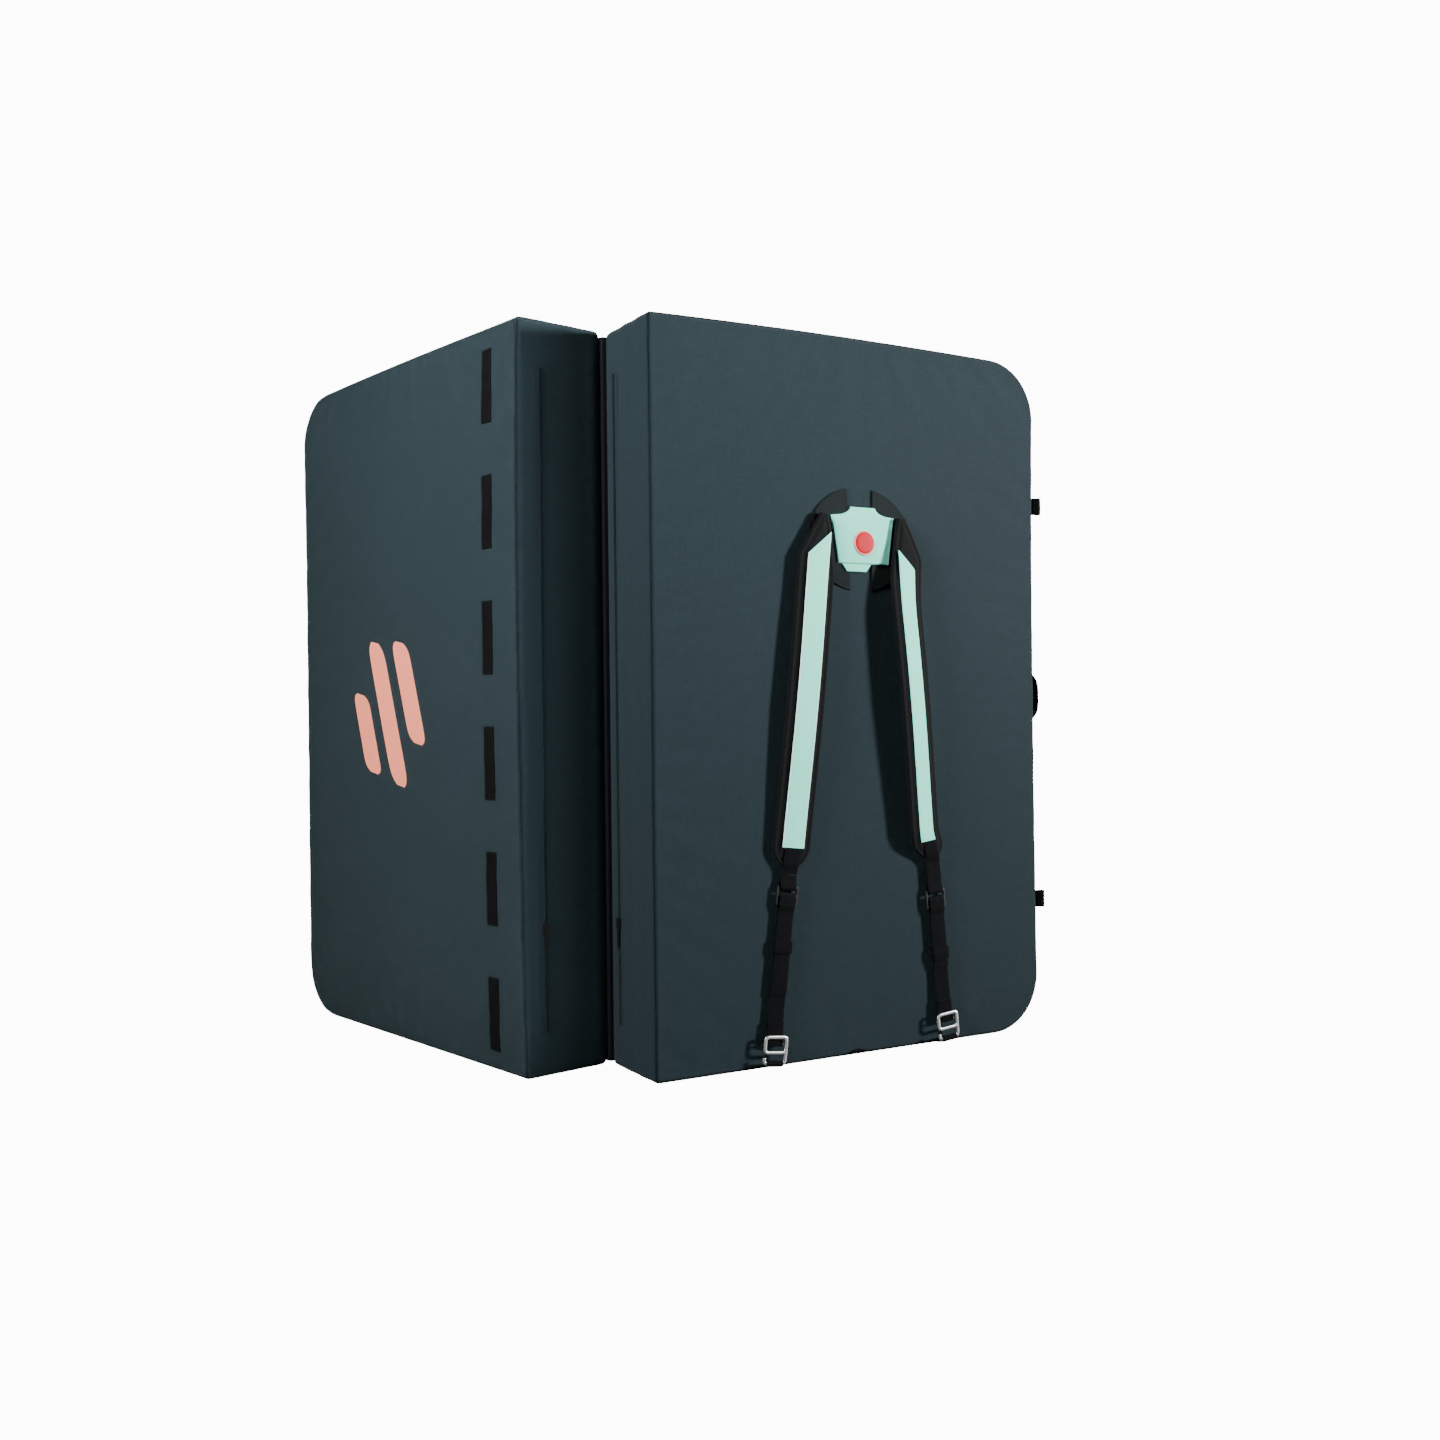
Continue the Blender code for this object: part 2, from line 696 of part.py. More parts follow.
def strap_bow(drop):
    """How far the strap pad bends away from the straight line between root and foot."""
    share = min(max(drop / STRAP_PAD_LENGTH, 0), 1)
    return STRAP_BOW * math.sin(math.pi * share) ** 2


def bowed_frames(stations):
    points = [Vector((0, strap_bow(drop), -drop)) for drop in stations]
    return flat_frames(points, Vector((1, 0, 0)), 0, 0)


def strap_reach(drop):
    """Reach of the strap's outer and inner edge from its middle line at a drop from the root."""
    half = STRAP_WIDTH / 2
    drops = (0, STRAP_SHOULDER, STRAP_DIAGONAL, STRAP_BROAD)
    widening = (half - STRAP_SHOULDER_REACH) / (STRAP_BROAD - STRAP_SHOULDER)
    broad = half - widening * (STRAP_BROAD - STRAP_DIAGONAL)
    inner = float(np.interp(drop, drops, (STRAP_TIP_REACH, STRAP_SHOULDER_REACH, broad, half)))
    outer_edge = float(np.interp(drop, (0, STRAP_DIAGONAL), (STRAP_TIP_WIDTH - STRAP_TIP_REACH, half)))
    return outer_edge, inner


def strap_pad(name, sign, parent):
    """Padded strap with a diagonal upper end and a tapered foot, bowed away from the panel."""
    taper_start = STRAP_PAD_LENGTH - STRAP_TAPER
    stations = sorted(set(
        [0, STRAP_SHOULDER, STRAP_DIAGONAL]
        + list(np.linspace(STRAP_BROAD, taper_start, PAD_STATIONS))
        + list(np.linspace(taper_start, STRAP_PAD_LENGTH, TAPER_STATIONS))
    ))
    frames, thick = [], []
    for (point, across, up, *_), drop in zip(bowed_frames(stations), stations):
        outer_edge, inner = strap_reach(drop)
        narrow = max(0, (drop - taper_start) / STRAP_TAPER)
        shrink = (STRAP_WIDTH - WEBBING_WIDTH) / 2 * STRAP_FOOT_SHARE * narrow ** 2
        low, high = -(outer_edge - shrink), inner - shrink
        if sign < 0:
            low, high = -high, -low
        frames.append((point, across, up, low, high))
        thick.append(STRAP_THICKNESS + (STRAP_FOOT_THICKNESS - STRAP_THICKNESS) * narrow)
    obj = band(name, frames, thick, rounding=STRAP_THICKNESS / 4)
    return finish(obj, "black_webbing", parent)


def strap_facing(name, sign, parent):
    """Pale webbing sewn on the pad's outside, cut on the same diagonal at its top."""
    lift = STRAP_THICKNESS / 2 + GAP + FACING_THICKNESS / 2
    half = FACING_WIDTH / 2
    full = FACING_TOP + FACING_WIDTH
    foot = STRAP_PAD_LENGTH - STRAP_TAPER
    stations = list(np.linspace(FACING_TOP, full, 4)) + list(np.linspace(full, foot, PAD_STATIONS))[1:]
    frames = []
    for (point, across, up, *_), drop in zip(bowed_frames(stations), stations):
        begun = min((drop - FACING_TOP) / FACING_WIDTH, 1)
        reach = half - (1 - begun) * (FACING_WIDTH - FACING_TIP_WIDTH)
        low, high = (-reach, half) if sign > 0 else (-half, reach)
        away = up if up.y > 0 else -up
        frames.append((point + away * lift, across, up, low, high))
    return finish(band(name, frames, FACING_THICKNESS), "mint", parent)


def stand_up(obj):
    """Turns a flat plate from the x, y plane into the x, z plane, inside its mesh."""
    obj.data.transform(Matrix.Rotation(math.radians(90), 4, "X"))


def ladder_lock(name, top_bar_z, parent):
    """Frame with three bars; the upper webbing holds the top one, the lower one the middle one."""
    half = LOCK_WIDTH / 2
    top = top_bar_z + LOCK_BAR / 2
    slot_half = half - LOCK_RAIL
    foot = top - 3 * LOCK_BAR - 2 * LOCK_SLOT
    outlines = [rounded_box(-half, foot, half, top, LOCK_BAR / 2)]
    for row in range(2):
        high = top - LOCK_BAR - row * (LOCK_BAR + LOCK_SLOT)
        outlines.append(rounded_box(-slot_half, high - LOCK_SLOT, slot_half, high, LOCK_BAR / 4, 2))
    obj = plate_curve(name, outlines, LOCK_THICKNESS, HOOK_EDGE)
    stand_up(obj)
    return finish(obj, "black_plastic", parent)


def hook_plate_y():
    """How far the hook's plate stands in front of its rear bar."""
    wrap = REAR_BAR_RADIUS + BAR_CLEARANCE + WEBBING
    return wrap + BAR_CLEARANCE + HOOK_THICKNESS / 2


def hook_foot_bar(rear_bar_z):
    """Height of the middle of the hook's lowest bar."""
    return rear_bar_z - HOOK_WINDOW / 2 - HOOK_BAR - HOOK_MOUTH - HOOK_BAR / 2


def g_hook(name, rear_bar_z, open_sign, parent):
    """Flat metal hook: a closed window with the webbing's bar behind it, and below it a
    mouth that is open at one side. open_sign is the side of the opening in x."""
    half = HOOK_WIDTH / 2
    bar = HOOK_BAR
    sill = rear_bar_z - HOOK_WINDOW / 2
    top = sill + HOOK_WINDOW + bar
    mouth_top = sill - bar
    mouth_foot = mouth_top - HOOK_MOUTH
    foot = mouth_foot - bar
    tip = mouth_foot + HOOK_TIP_SHARE * HOOK_MOUTH
    radius = bar * HOOK_CORNER_SHARE
    small = bar * HOOK_INNER_SHARE
    inner = half - bar
    outline = arc((half - radius, foot + radius), radius, -90, 0, 4)
    outline += arc((half - radius, top - radius), radius, 0, 90, 4)
    outline += arc((-half + radius, top - radius), radius, 90, 180, 4)
    outline += arc((-half + small, mouth_top + small), small, 180, 270, 3)
    outline += arc((inner - small, mouth_top - small), small, 90, 0, 3)
    outline += arc((inner - small, mouth_foot + small), small, 0, -90, 3)
    outline += arc((-inner + small, mouth_foot + small), small, -90, -180, 3)
    outline += arc((-half + bar / 2, tip), bar / 2, 0, 180, 4)
    outline += arc((-half + radius, foot + radius), radius, 180, 270, 4)
    window = rounded_box(-inner, sill, inner, top - bar, small)
    if open_sign > 0:
        outline = [(-x, z) for x, z in reversed(outline)]
    obj = plate_curve(name, [outline, window], HOOK_THICKNESS, HOOK_EDGE)
    stand_up(obj)
    obj.data.transform(Matrix.Translation((0, hook_plate_y(), 0)))

    lug_foot = -REAR_BAR_RADIUS
    lug_top = hook_plate_y()
    bm = bmesh.new()
    bm.from_mesh(obj.data)
    for side in (-1, 1):
        cube = bmesh.ops.create_cube(bm, size=1.0)["verts"]
        scale = Matrix.Diagonal((bar - 3 * HOOK_EDGE, lug_top - lug_foot, 2 * REAR_BAR_RADIUS, 1))
        spot = (side * (half - bar / 2), (lug_top + lug_foot) / 2, rear_bar_z)
        bmesh.ops.transform(bm, matrix=Matrix.Translation(spot) @ scale, verts=cube)
    rod = bmesh.ops.create_cone(
        bm, cap_ends=True, segments=12, radius1=REAR_BAR_RADIUS, radius2=REAR_BAR_RADIUS,
        depth=2 * half - bar)["verts"]
    lay = Matrix.Translation((0, 0, rear_bar_z)) @ Matrix.Rotation(math.radians(90), 4, "Y")
    bmesh.ops.transform(bm, matrix=lay, verts=rod)
    bm.to_mesh(obj.data)
    bm.free()
    join_bodies(obj)
    return finish(obj, "metal", parent)


def keeper(name, z, parent):
    """Elastic sleeve round both layers of the lower webbing."""
    half_x = KEEPER_WIDTH / 2
    half_y = WEBBING + LAYER_GAP / 2 + BAR_CLEARANCE + KEEPER_THICKNESS / 2
    ring = rounded_box(-half_x, -half_y, half_x, half_y, half_y / 2, 2)
    up = Vector((0, 0, 1))
    points = [Vector((x, y, z)) for x, y in ring]
    frames = flat_frames(points, up, -KEEPER_LENGTH / 2, KEEPER_LENGTH / 2, closed=True)
    return finish(band(name, frames, KEEPER_THICKNESS, closed=True), "black_webbing", parent)


def strap_frame(name, root, foot, away_hint, parent):
    """An empty on the swing axis, with z from foot to root and y away from the panel."""
    up = (root - foot).normalized()
    away = (away_hint - up * away_hint.dot(up)).normalized()
    across = away.cross(up).normalized()
    turn = Matrix((across, away, up)).transposed().to_4x4()
    matrix = Matrix.Translation(root) @ turn
    return frame_empty(name, matrix, parent), matrix


def shoulder_strap(prefix, sign, splay_share, run_shares, patch_top, panel):
    """One strap with its anchor and its loop; sign is -1 on the fold side."""
    root_u = HARNESS_MIDDLE + sign * STRAP_ROOT_SPREAD
    anchor_top = patch_top + ANCHOR_THICKNESS
    root = outer(1, root_u, STRAP_ROOT_HEIGHT, anchor_top + GAP + STRAP_THICKNESS / 2)
    drop = STRAP_ROOT_HEIGHT - HOOK_LINE_HEIGHT
    foot_u = root_u + sign * splay_share * drop
    foot = place(1, foot_u, HOOK_LINE_HEIGHT, PANEL_THICKNESS + HOOK_LINE_STANDOFF)
    frame, matrix = strap_frame(prefix + "_strap_frame", root, foot, Vector((0, -1, 0)), panel)
    length = (root - foot).length

    run = length - STRAP_PAD_LENGTH
    lock_top, keeper_middle, tail = [-length + share * run for share in run_shares]

    inner_u = root_u - sign * STRAP_TIP_REACH
    outer_u = inner_u + sign * ANCHOR_WIDTH
    low_u, high_u = min(inner_u, outer_u), max(inner_u, outer_u)
    anchor = rounded_box(
        low_u, STRAP_ROOT_HEIGHT - ANCHOR_LENGTH, high_u, STRAP_ROOT_HEIGHT, ANCHOR_THICKNESS, 2)
    face_plate(prefix + "_strap_anchor", anchor, patch_top, ANCHOR_THICKNESS, "black_webbing", panel)

    strap_pad(prefix + "_strap_pad", sign, frame)
    strap_facing(prefix + "_strap_facing", sign, frame)

    middle_bar = lock_top - LOCK_BAR - LOCK_SLOT
    wrap = math.hypot(LOCK_THICKNESS, LOCK_BAR) / 2 + BAR_CLEARANCE / 2 + WEBBING / 2
    layer = (WEBBING + LAYER_GAP) / 2
    pad_foot = -STRAP_PAD_LENGTH - GAP
    path = hairpin((0, lock_top), wrap, pad_foot, layer)
    strap_band(prefix + "_upper_webbing", path, WEBBING_WIDTH, WEBBING, "black_webbing", frame)
    ladder_lock(prefix + "_ladder_lock", lock_top, frame)

    hook_z = -length
    hook_wrap = REAR_BAR_RADIUS + BAR_CLEARANCE + WEBBING / 2
    lower_bar_end = middle_bar - LOCK_SLOT - 2 * LOCK_BAR
    turn_top = arc((0, middle_bar), wrap, 0, 180, BEND_STEPS)
    turn_foot = arc((0, hook_z), hook_wrap, 180, 360, BEND_STEPS)
    sewn_end = hook_z + FOLD_BACK
    settled = lower_bar_end - wrap * TURN_SHARE
    hook_settled = hook_z + hook_wrap * HOOK_SETTLE_SHARE
    path = [(layer, tail), (layer, settled), (wrap, lower_bar_end)] + turn_top
    path += [(-wrap, lower_bar_end), (-layer, settled), (-layer, hook_settled)]
    path += turn_foot + [(layer, hook_settled), (layer, sewn_end)]
    strap_band(prefix + "_lower_webbing", path, WEBBING_WIDTH, WEBBING, "black_webbing", frame)
    keeper(prefix + "_keeper", keeper_middle, frame)
    g_hook(prefix + "_g_hook", hook_z, 1, frame)

    seam_angle = math.radians(HOOK_SEAM_ANGLE)
    seam_height = RIDGE_RADIUS * (1 - math.cos(seam_angle))
    seam_depth = PANEL_THICKNESS - RIDGE_RADIUS * (1 - math.sin(seam_angle))
    stand = LOOP_SEAM_RADIUS + LOOP_LEG / 2 + SEWN_GAP
    seam_u = root_u + sign * splay_share * (STRAP_ROOT_HEIGHT - seam_height)
    seam = place(1, seam_u, seam_height - stand * math.cos(seam_angle),
                 seam_depth + stand * math.sin(seam_angle))
    seam_local = matrix.inverted() @ seam
    bar = (hook_plate_y(), hook_foot_bar(hook_z))
    loop_wrap = math.hypot(HOOK_THICKNESS, HOOK_BAR) / 2 + BAR_CLEARANCE / 2 + LOOP_LEG / 2
    path = belt((seam_local.y, seam_local.z), LOOP_SEAM_RADIUS, bar, loop_wrap)
    name = prefix + "_hook_loop"
    loop = strap_band(name, path, WEBBING_WIDTH, LOOP_LEG, "black_webbing", panel, closed=True)
    loop.matrix_basis = matrix


# Pieces on the free edges and at the foot

def free_wall(v):
    """Where the free wall stands at a height, with its draw-in."""
    share = (v - FREE_CORNER_RADIUS) / (PANEL_HEIGHT - 2 * FREE_CORNER_RADIUS)
    share = min(max(share, 0), 1)
    return PANEL_WIDTH - FREE_EDGE_DRAW_IN * 4 * share * (1 - share)


def closure_loop(name, height, panel):
    """Webbing loop in the ridge seam of the harness panel's free edge."""
    angle = math.radians(CLOSURE_SEAM_ANGLE)
    stand = LOOP_SEAM_RADIUS + LOOP_LEG / 2 + SEWN_GAP
    ridge = Vector((free_wall(height) - RIDGE_RADIUS, PANEL_THICKNESS - RIDGE_RADIUS))
    heading = Vector((math.cos(angle), math.sin(angle)))
    seam = ridge + heading * (RIDGE_RADIUS + stand)
    far = seam + heading * LOOP_REACH
    path = belt(seam, LOOP_SEAM_RADIUS, far, LOOP_MOUTH / 2)
    points = [place(1, u, height, d) for u, d in path]
    frames = flat_frames(points, Vector((0, 0, 1)), -WEBBING_WIDTH / 2, WEBBING_WIDTH / 2, closed=True)
    finish(band(name, frames, LOOP_LEG, closed=True), "black_webbing", panel)


def carry_handle(panel):
    """Webbing arch on the free wall, sewn flat at both ends."""
    half = CARRY_LENGTH / 2
    rise_start = half - CARRY_FOOT
    sewn = SEWN_GAP + WEBBING / 2
    points = []
    for share in np.linspace(-1, 1, CARRY_STATIONS):
        offset = share * half
        lift = 0
        if abs(offset) < rise_start:
            lift = CARRY_RISE * (1 - abs(offset / rise_start) ** CARRY_POWER)
        height = CARRY_HEIGHT + offset
        points.append((free_wall(height) + sewn + lift, height))
    depth = PANEL_THICKNESS - RIDGE_RADIUS - WEBBING_WIDTH / 2
    path = [place(1, u, height, depth) for u, height in points]
    frames = flat_frames(path, Vector((0, 1, 0)), -WEBBING_WIDTH / 2, WEBBING_WIDTH / 2)
    finish(band("carry_handle", frames, WEBBING), "black_webbing", panel)


def haul_handle(panel):
    """Short webbing handle sewn in the foot seam; it lies along the floor."""
    points = []
    seam_depth = PANEL_THICKNESS + GAP
    for share in np.linspace(-1, 1, CARRY_STATIONS):
        lift = HAUL_RISE * (1 - share ** 2) ** 2
        u = HARNESS_MIDDLE + HAUL_SHIFT + share * HAUL_LENGTH / 2
        points.append(place(1, u, HAUL_FLOOR + lift, seam_depth + HAUL_WIDTH / 2))
    across = Vector((0, -1, 0))
    frames = flat_frames(points, across, -HAUL_WIDTH / 2, HAUL_WIDTH / 2)
    finish(band("haul_handle", frames, WEBBING), "black_webbing", panel)


def closure_strap(prefix, height, panel):
    """Closure strap with its hook, lying on the strip panel's free wall. It swings about its
    outer side, so that it can fold back over its own sewn end."""
    wall = free_wall(height)
    fold_lift = SEWN_GAP + WEBBING + GAP
    root = place(-1, wall + fold_lift, height, CLOSURE_ROOT_DEPTH)
    foot = place(-1, wall + CLOSURE_STANDOFF, height, CLOSURE_ROOT_DEPTH + CLOSURE_STRAP_LENGTH)
    frame, matrix = strap_frame(prefix + "_frame", root, foot, Vector((-1, 0, 0)), panel)
    hook_z = -(root - foot).length
    wrap = REAR_BAR_RADIUS + BAR_CLEARANCE + WEBBING / 2
    layer = (WEBBING + LAYER_GAP) / 2
    sewn_end = hook_z + FOLD_BACK
    settled = hook_z + wrap * HOOK_SETTLE_SHARE
    path = [(-GAP - WEBBING / 2, 0), (-layer, sewn_end), (-layer, settled)]
    path += arc((0, hook_z), wrap, 180, 360, BEND_STEPS) + [(layer, settled), (layer, sewn_end)]
    strap_band(prefix + "_webbing", path, WEBBING_WIDTH, WEBBING, "black_webbing", frame)
    g_hook(prefix + "_g_hook", hook_z, 1, frame)
    tack_low = CLOSURE_ROOT_DEPTH - GAP - CLOSURE_TACK
    sewn = wall + SEWN_GAP + WEBBING / 2
    points = [place(-1, sewn, height, d) for d in (tack_low, tack_low + CLOSURE_TACK)]
    frames = flat_frames(points, Vector((0, 0, 1)), -WEBBING_WIDTH / 2, WEBBING_WIDTH / 2)
    finish(band(prefix + "_tack", frames, WEBBING), "black_webbing", panel)


def main():
    clear_scene()
    hinge = Matrix.Translation((HINGE_X, HINGE_Y, 0))
    harness = frame_empty("harness_panel_frame", hinge)
    strip = frame_empty("strip_panel_frame", hinge @ Matrix.Rotation(-FOLD_FROM_FLAT, 4, "Z"))
    for prefix, side, parent in (("harness", 1, harness), ("strip", -1, strip)):
        cover_tray(prefix + "_cover", side, parent)
        slab(prefix + "_landing_sheet", side, 0, FABRIC, HEM_INSET, "landing", parent)
        foams(prefix, side, parent)
    hook_loop_strips(strip)
    zip_fastener("harness", 1, HARNESS_ZIP_DEPTH, harness)
    zip_fastener("strip", -1, STRIP_ZIP_DEPTH, strip)
    hinge_strip(harness, strip)
    patch_top = yoke(harness)
    shoulder_strap("left", -1, LEFT_SPLAY_SHARE, LEFT_RUN_SHARES, patch_top, harness)
    shoulder_strap("right", 1, RIGHT_SPLAY_SHARE, RIGHT_RUN_SHARES, patch_top, harness)
    for name, height in (("lower", CLOSURE_LOW), ("upper", CLOSURE_HIGH)):
        closure_loop(name + "_closure_loop", height, harness)
        closure_strap(name + "_closure", height, strip)
    carry_handle(harness)
    haul_handle(harness)


main()
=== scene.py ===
# %% [markdown]
# A bouldering crash pad stands on end, part folded, with its shoulder harness to the front.
# The imported solids are the frame: they say where everything is and what it moves with. Each
# cell below dresses one piece, so the first step is to load that frame.

import json
import math
from functools import partial

import bmesh
import bpy
import numpy as np
from mathutils import Matrix, Vector


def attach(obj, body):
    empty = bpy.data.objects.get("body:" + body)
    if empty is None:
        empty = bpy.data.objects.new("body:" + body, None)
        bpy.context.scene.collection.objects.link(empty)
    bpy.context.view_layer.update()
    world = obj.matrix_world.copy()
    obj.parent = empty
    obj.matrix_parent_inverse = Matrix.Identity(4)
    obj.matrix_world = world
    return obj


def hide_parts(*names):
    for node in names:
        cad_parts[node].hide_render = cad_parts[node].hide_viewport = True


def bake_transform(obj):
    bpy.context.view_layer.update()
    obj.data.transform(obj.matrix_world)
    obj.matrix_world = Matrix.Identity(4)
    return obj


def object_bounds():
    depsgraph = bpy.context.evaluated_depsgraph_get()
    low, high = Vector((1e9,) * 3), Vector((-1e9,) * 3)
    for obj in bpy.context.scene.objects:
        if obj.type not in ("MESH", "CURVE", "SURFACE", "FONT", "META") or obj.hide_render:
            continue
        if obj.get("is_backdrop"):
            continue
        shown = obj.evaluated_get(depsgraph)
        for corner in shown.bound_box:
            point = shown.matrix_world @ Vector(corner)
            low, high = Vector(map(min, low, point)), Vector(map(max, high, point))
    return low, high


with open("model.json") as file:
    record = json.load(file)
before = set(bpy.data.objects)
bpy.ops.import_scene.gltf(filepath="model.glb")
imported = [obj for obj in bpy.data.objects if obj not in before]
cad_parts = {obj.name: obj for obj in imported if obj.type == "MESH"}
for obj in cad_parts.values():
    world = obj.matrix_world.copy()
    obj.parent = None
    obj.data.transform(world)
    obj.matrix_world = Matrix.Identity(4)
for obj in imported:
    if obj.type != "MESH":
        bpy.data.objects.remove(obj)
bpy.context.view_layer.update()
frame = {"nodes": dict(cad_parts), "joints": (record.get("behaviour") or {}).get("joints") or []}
joints = {joint["name"]: joint for joint in frame["joints"]}

# %% [markdown]
# The camera stands where the photographer stood: a little left of the fold, half a metre up and
# two metres away. A camera starts looking straight down, so it is pitched up by a right angle
# first. A look-at constraint would be shorter, but would lose the hand-held shot's small roll.

# %% Camera
CAMERA_SPOT = (-1.1603, -1.7270, 0.4781)
YAW, PITCH, ROLL = np.radians((29.397, -0.22, -0.63))


def put(name, data):
    made = bpy.data.objects.new(name, data)
    bpy.context.scene.collection.objects.link(made)
    return made


camera = put("photo_camera", bpy.data.cameras.new("photo_camera"))
camera.data.lens = camera.data.sensor_width = 36.0
camera.matrix_world = (Matrix.Translation(CAMERA_SPOT) @ Matrix.Rotation(-YAW, 4, "Z")
                       @ Matrix.Rotation(math.pi / 2 + PITCH, 4, "X") @ Matrix.Rotation(ROLL, 4, "Z"))
bpy.context.scene.camera = camera
print("camera", CAMERA_SPOT, "lens", camera.data.lens)

# %% [markdown]
# Every finish is a node material. These helpers keep the wiring readable: each adds one node,
# whose inputs are values or other nodes' sockets, and hands back what it puts out.

# %% Node helpers
def wire(tree, node, inputs):
    """Sets inputs, by name or number, to values, or links them to other nodes' sockets."""
    for socket, value in inputs.items():
        if isinstance(value, bpy.types.NodeSocket):
            tree.links.new(value, node.inputs[socket])
        else:
            node.inputs[socket].default_value = value


def add(tree, kind, inputs=None, **settings):
    made = tree.nodes.new("ShaderNode" + kind)
    for key, value in settings.items():
        setattr(made, key, value)
    wire(tree, made, inputs or {})
    return made.outputs


def reckon(tree, operation, *terms):
    """One step of arithmetic."""
    return add(tree, "Math", dict(enumerate(terms)), operation=operation)[0]


def mix(tree, share, first, second, kind="RGBA"):
    """A share of the way from one colour, or number, to another."""
    socket, result = (6, 2) if kind == "RGBA" else (2, 0)
    return add(tree, "Mix", {0: share, socket: first, socket + 1: second}, data_type=kind)[result]


def remap(tree, value, old=(0.0, 1.0), new=(0.0, 1.0)):
    """Moves a number from one span to another."""
    return add(tree, "MapRange", dict(enumerate((value, *old, *new))))[0]


def noise(tree, spot, scale, detail):
    return add(tree, "TexNoise", {"Vector": spot, "Scale": scale, "Detail": detail})[0]


def coat(tree, inputs):
    """Sets or links inputs of the material's own shader."""
    wire(tree, tree.nodes["Principled BSDF"], inputs)


def start_material(name, roughness, values):
    made = bpy.data.materials.new(name)
    made.use_nodes = True
    coat(made.node_tree, {"Roughness": roughness, **values})
    return made, made.node_tree


def finish_material(tree, colour, height, distance, strength=1.0):
    """Gives the shader its colour, and a bump as high as distance where height is 1."""
    bump = add(tree, "Bump", {"Height": height, "Distance": distance, "Strength": strength})
    coat(tree, {"Base Color": colour, "Normal": bump[0]})


print("node helpers ready")

# %% [markdown]
# A studio cut-out has a pale floor, an even white surround and large soft lamps. Area lamps give
# the slow fall-off on the cloth; a sun would draw hard edges. One lamp stands on each side, so
# both outer faces are lit and the valley between the panels falls dark.

# %% Studio
FLOOR_REACH = 30.0
FLOOR_GLOW = 12.3
WORLD_CAST, WORLD_SEEN = 0.06, 12.5
WHITE = (1.0, 1.0, 1.0, 1.0)


def soft_lamp(name, spot, target, size, power, spread=180, tall=None):
    """A round area lamp, or an upright rectangle where it is tall, turned to its target."""
    lamp = bpy.data.lights.new(name, "AREA")
    lamp.shape, lamp.size, lamp.energy, lamp.spread = "DISK", size, power, math.radians(spread)
    if tall:
        lamp.shape, lamp.size_y = "RECTANGLE", tall
    holder = put(name, lamp)
    holder.location = spot
    holder.rotation_euler = (Vector(target) - Vector(spot)).to_track_quat("-Z", "Y").to_euler()


soft_lamp("right_lamp", (4.00, -2.85, 1.42), (-0.50, -0.10, 1.16), 0.7, 70, 50)
soft_lamp("left_lamp", (-3.00, -0.75, 2.10), (-0.44, 0.08, 1.12), 0.9, 42, 76)
soft_lamp("spine_lamp", (-0.62, -2.30, 0.56), (-0.500, 0.00, 0.56), 0.12, 0.8, 7, tall=1.1)
soft_lamp("back_lamp", (0.6, 3.2, 2.2), (0.0, 0.2, 0.5), 2.0, 230)

world = bpy.data.worlds.new("white_surround")
world.use_nodes = True
bpy.context.scene.world = world
tree = world.node_tree
brightness = remap(tree, add(tree, "LightPath")["Is Camera Ray"], new=(WORLD_CAST, WORLD_SEEN))
wire(tree, tree.nodes["Background"], {"Color": WHITE, "Strength": brightness})

floor_mesh = bpy.data.meshes.new("studio_floor")
floor_mesh.from_pydata([(x * FLOOR_REACH, y * FLOOR_REACH, 0.0) for x, y in (
    (-1, -1), (1, -1), (1, 1), (-1, 1))], [], [(0, 1, 2, 3)])
studio_floor = put("studio_floor", floor_mesh)
floor_paint, tree = start_material("floor_paint", 0.9, {
    "Base Color": (0.10, 0.10, 0.10, 1.0), "Emission Color": WHITE})
glow = reckon(tree, "MULTIPLY", add(tree, "LightPath")["Is Camera Ray"], FLOOR_GLOW)
coat(tree, {"Emission Strength": glow})
floor_mesh.materials.append(floor_paint)
studio_floor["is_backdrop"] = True

# %% [markdown]
# Canvas is a plain weave: warp over weft, weft over warp, like a chess board. Each square shows
# one thread, which is round across and lighter or darker along its length. The group works in
# metres on whatever coordinates it is given, so a thread has its real size on every piece.

# %% Weave group
def start_group(name, **numbers):
    """A node group with a Vector and number inputs; returns it and the sockets inside it."""
    group = bpy.data.node_groups.new(name, "ShaderNodeTree")
    group.interface.new_socket("Vector", in_out="INPUT", socket_type="NodeSocketVector")
    for label, default in numbers.items():
        socket = group.interface.new_socket(label, in_out="INPUT", socket_type="NodeSocketFloat")
        socket.default_value = default
    return group, group.nodes.new("NodeGroupInput").outputs


def end_group(group, **results):
    for label in results:
        group.interface.new_socket(label, in_out="OUTPUT", socket_type="NodeSocketFloat")
    wire(group, group.nodes.new("NodeGroupOutput"), results)
    print("group", group.name)
    return group


# Height is |sin| across the upper thread of each square; Streak is noise drawn out along it.
group, given = start_group("plain_weave", Pitch=0.0008)
do = partial(reckon, group)
split = add(group, "SeparateXYZ", {0: given["Vector"]})
across, along = (do("DIVIDE", split[axis], given["Pitch"]) for axis in (0, 1))
warp_on_top = do("ABSOLUTE", do("MODULO", do("ADD", do("FLOOR", across), do("FLOOR", along)), 2.0))
threads = [do("ABSOLUTE", do("SINE", do("MULTIPLY", way, math.pi))) for way in (along, across)]
streaks = []
for wide, long in ((0.03, 0.55), (0.55, 0.03)):
    drawn = add(group, "CombineXYZ", {0: do("MULTIPLY", across, wide), 1: do("MULTIPLY", along, long)})
    streaks.append(noise(group, drawn[0], 1.0, 2.0))
WEAVE = end_group(group, Height=mix(group, warp_on_top, *threads, "FLOAT"),
                  Streak=mix(group, warp_on_top, *streaks, "FLOAT"))

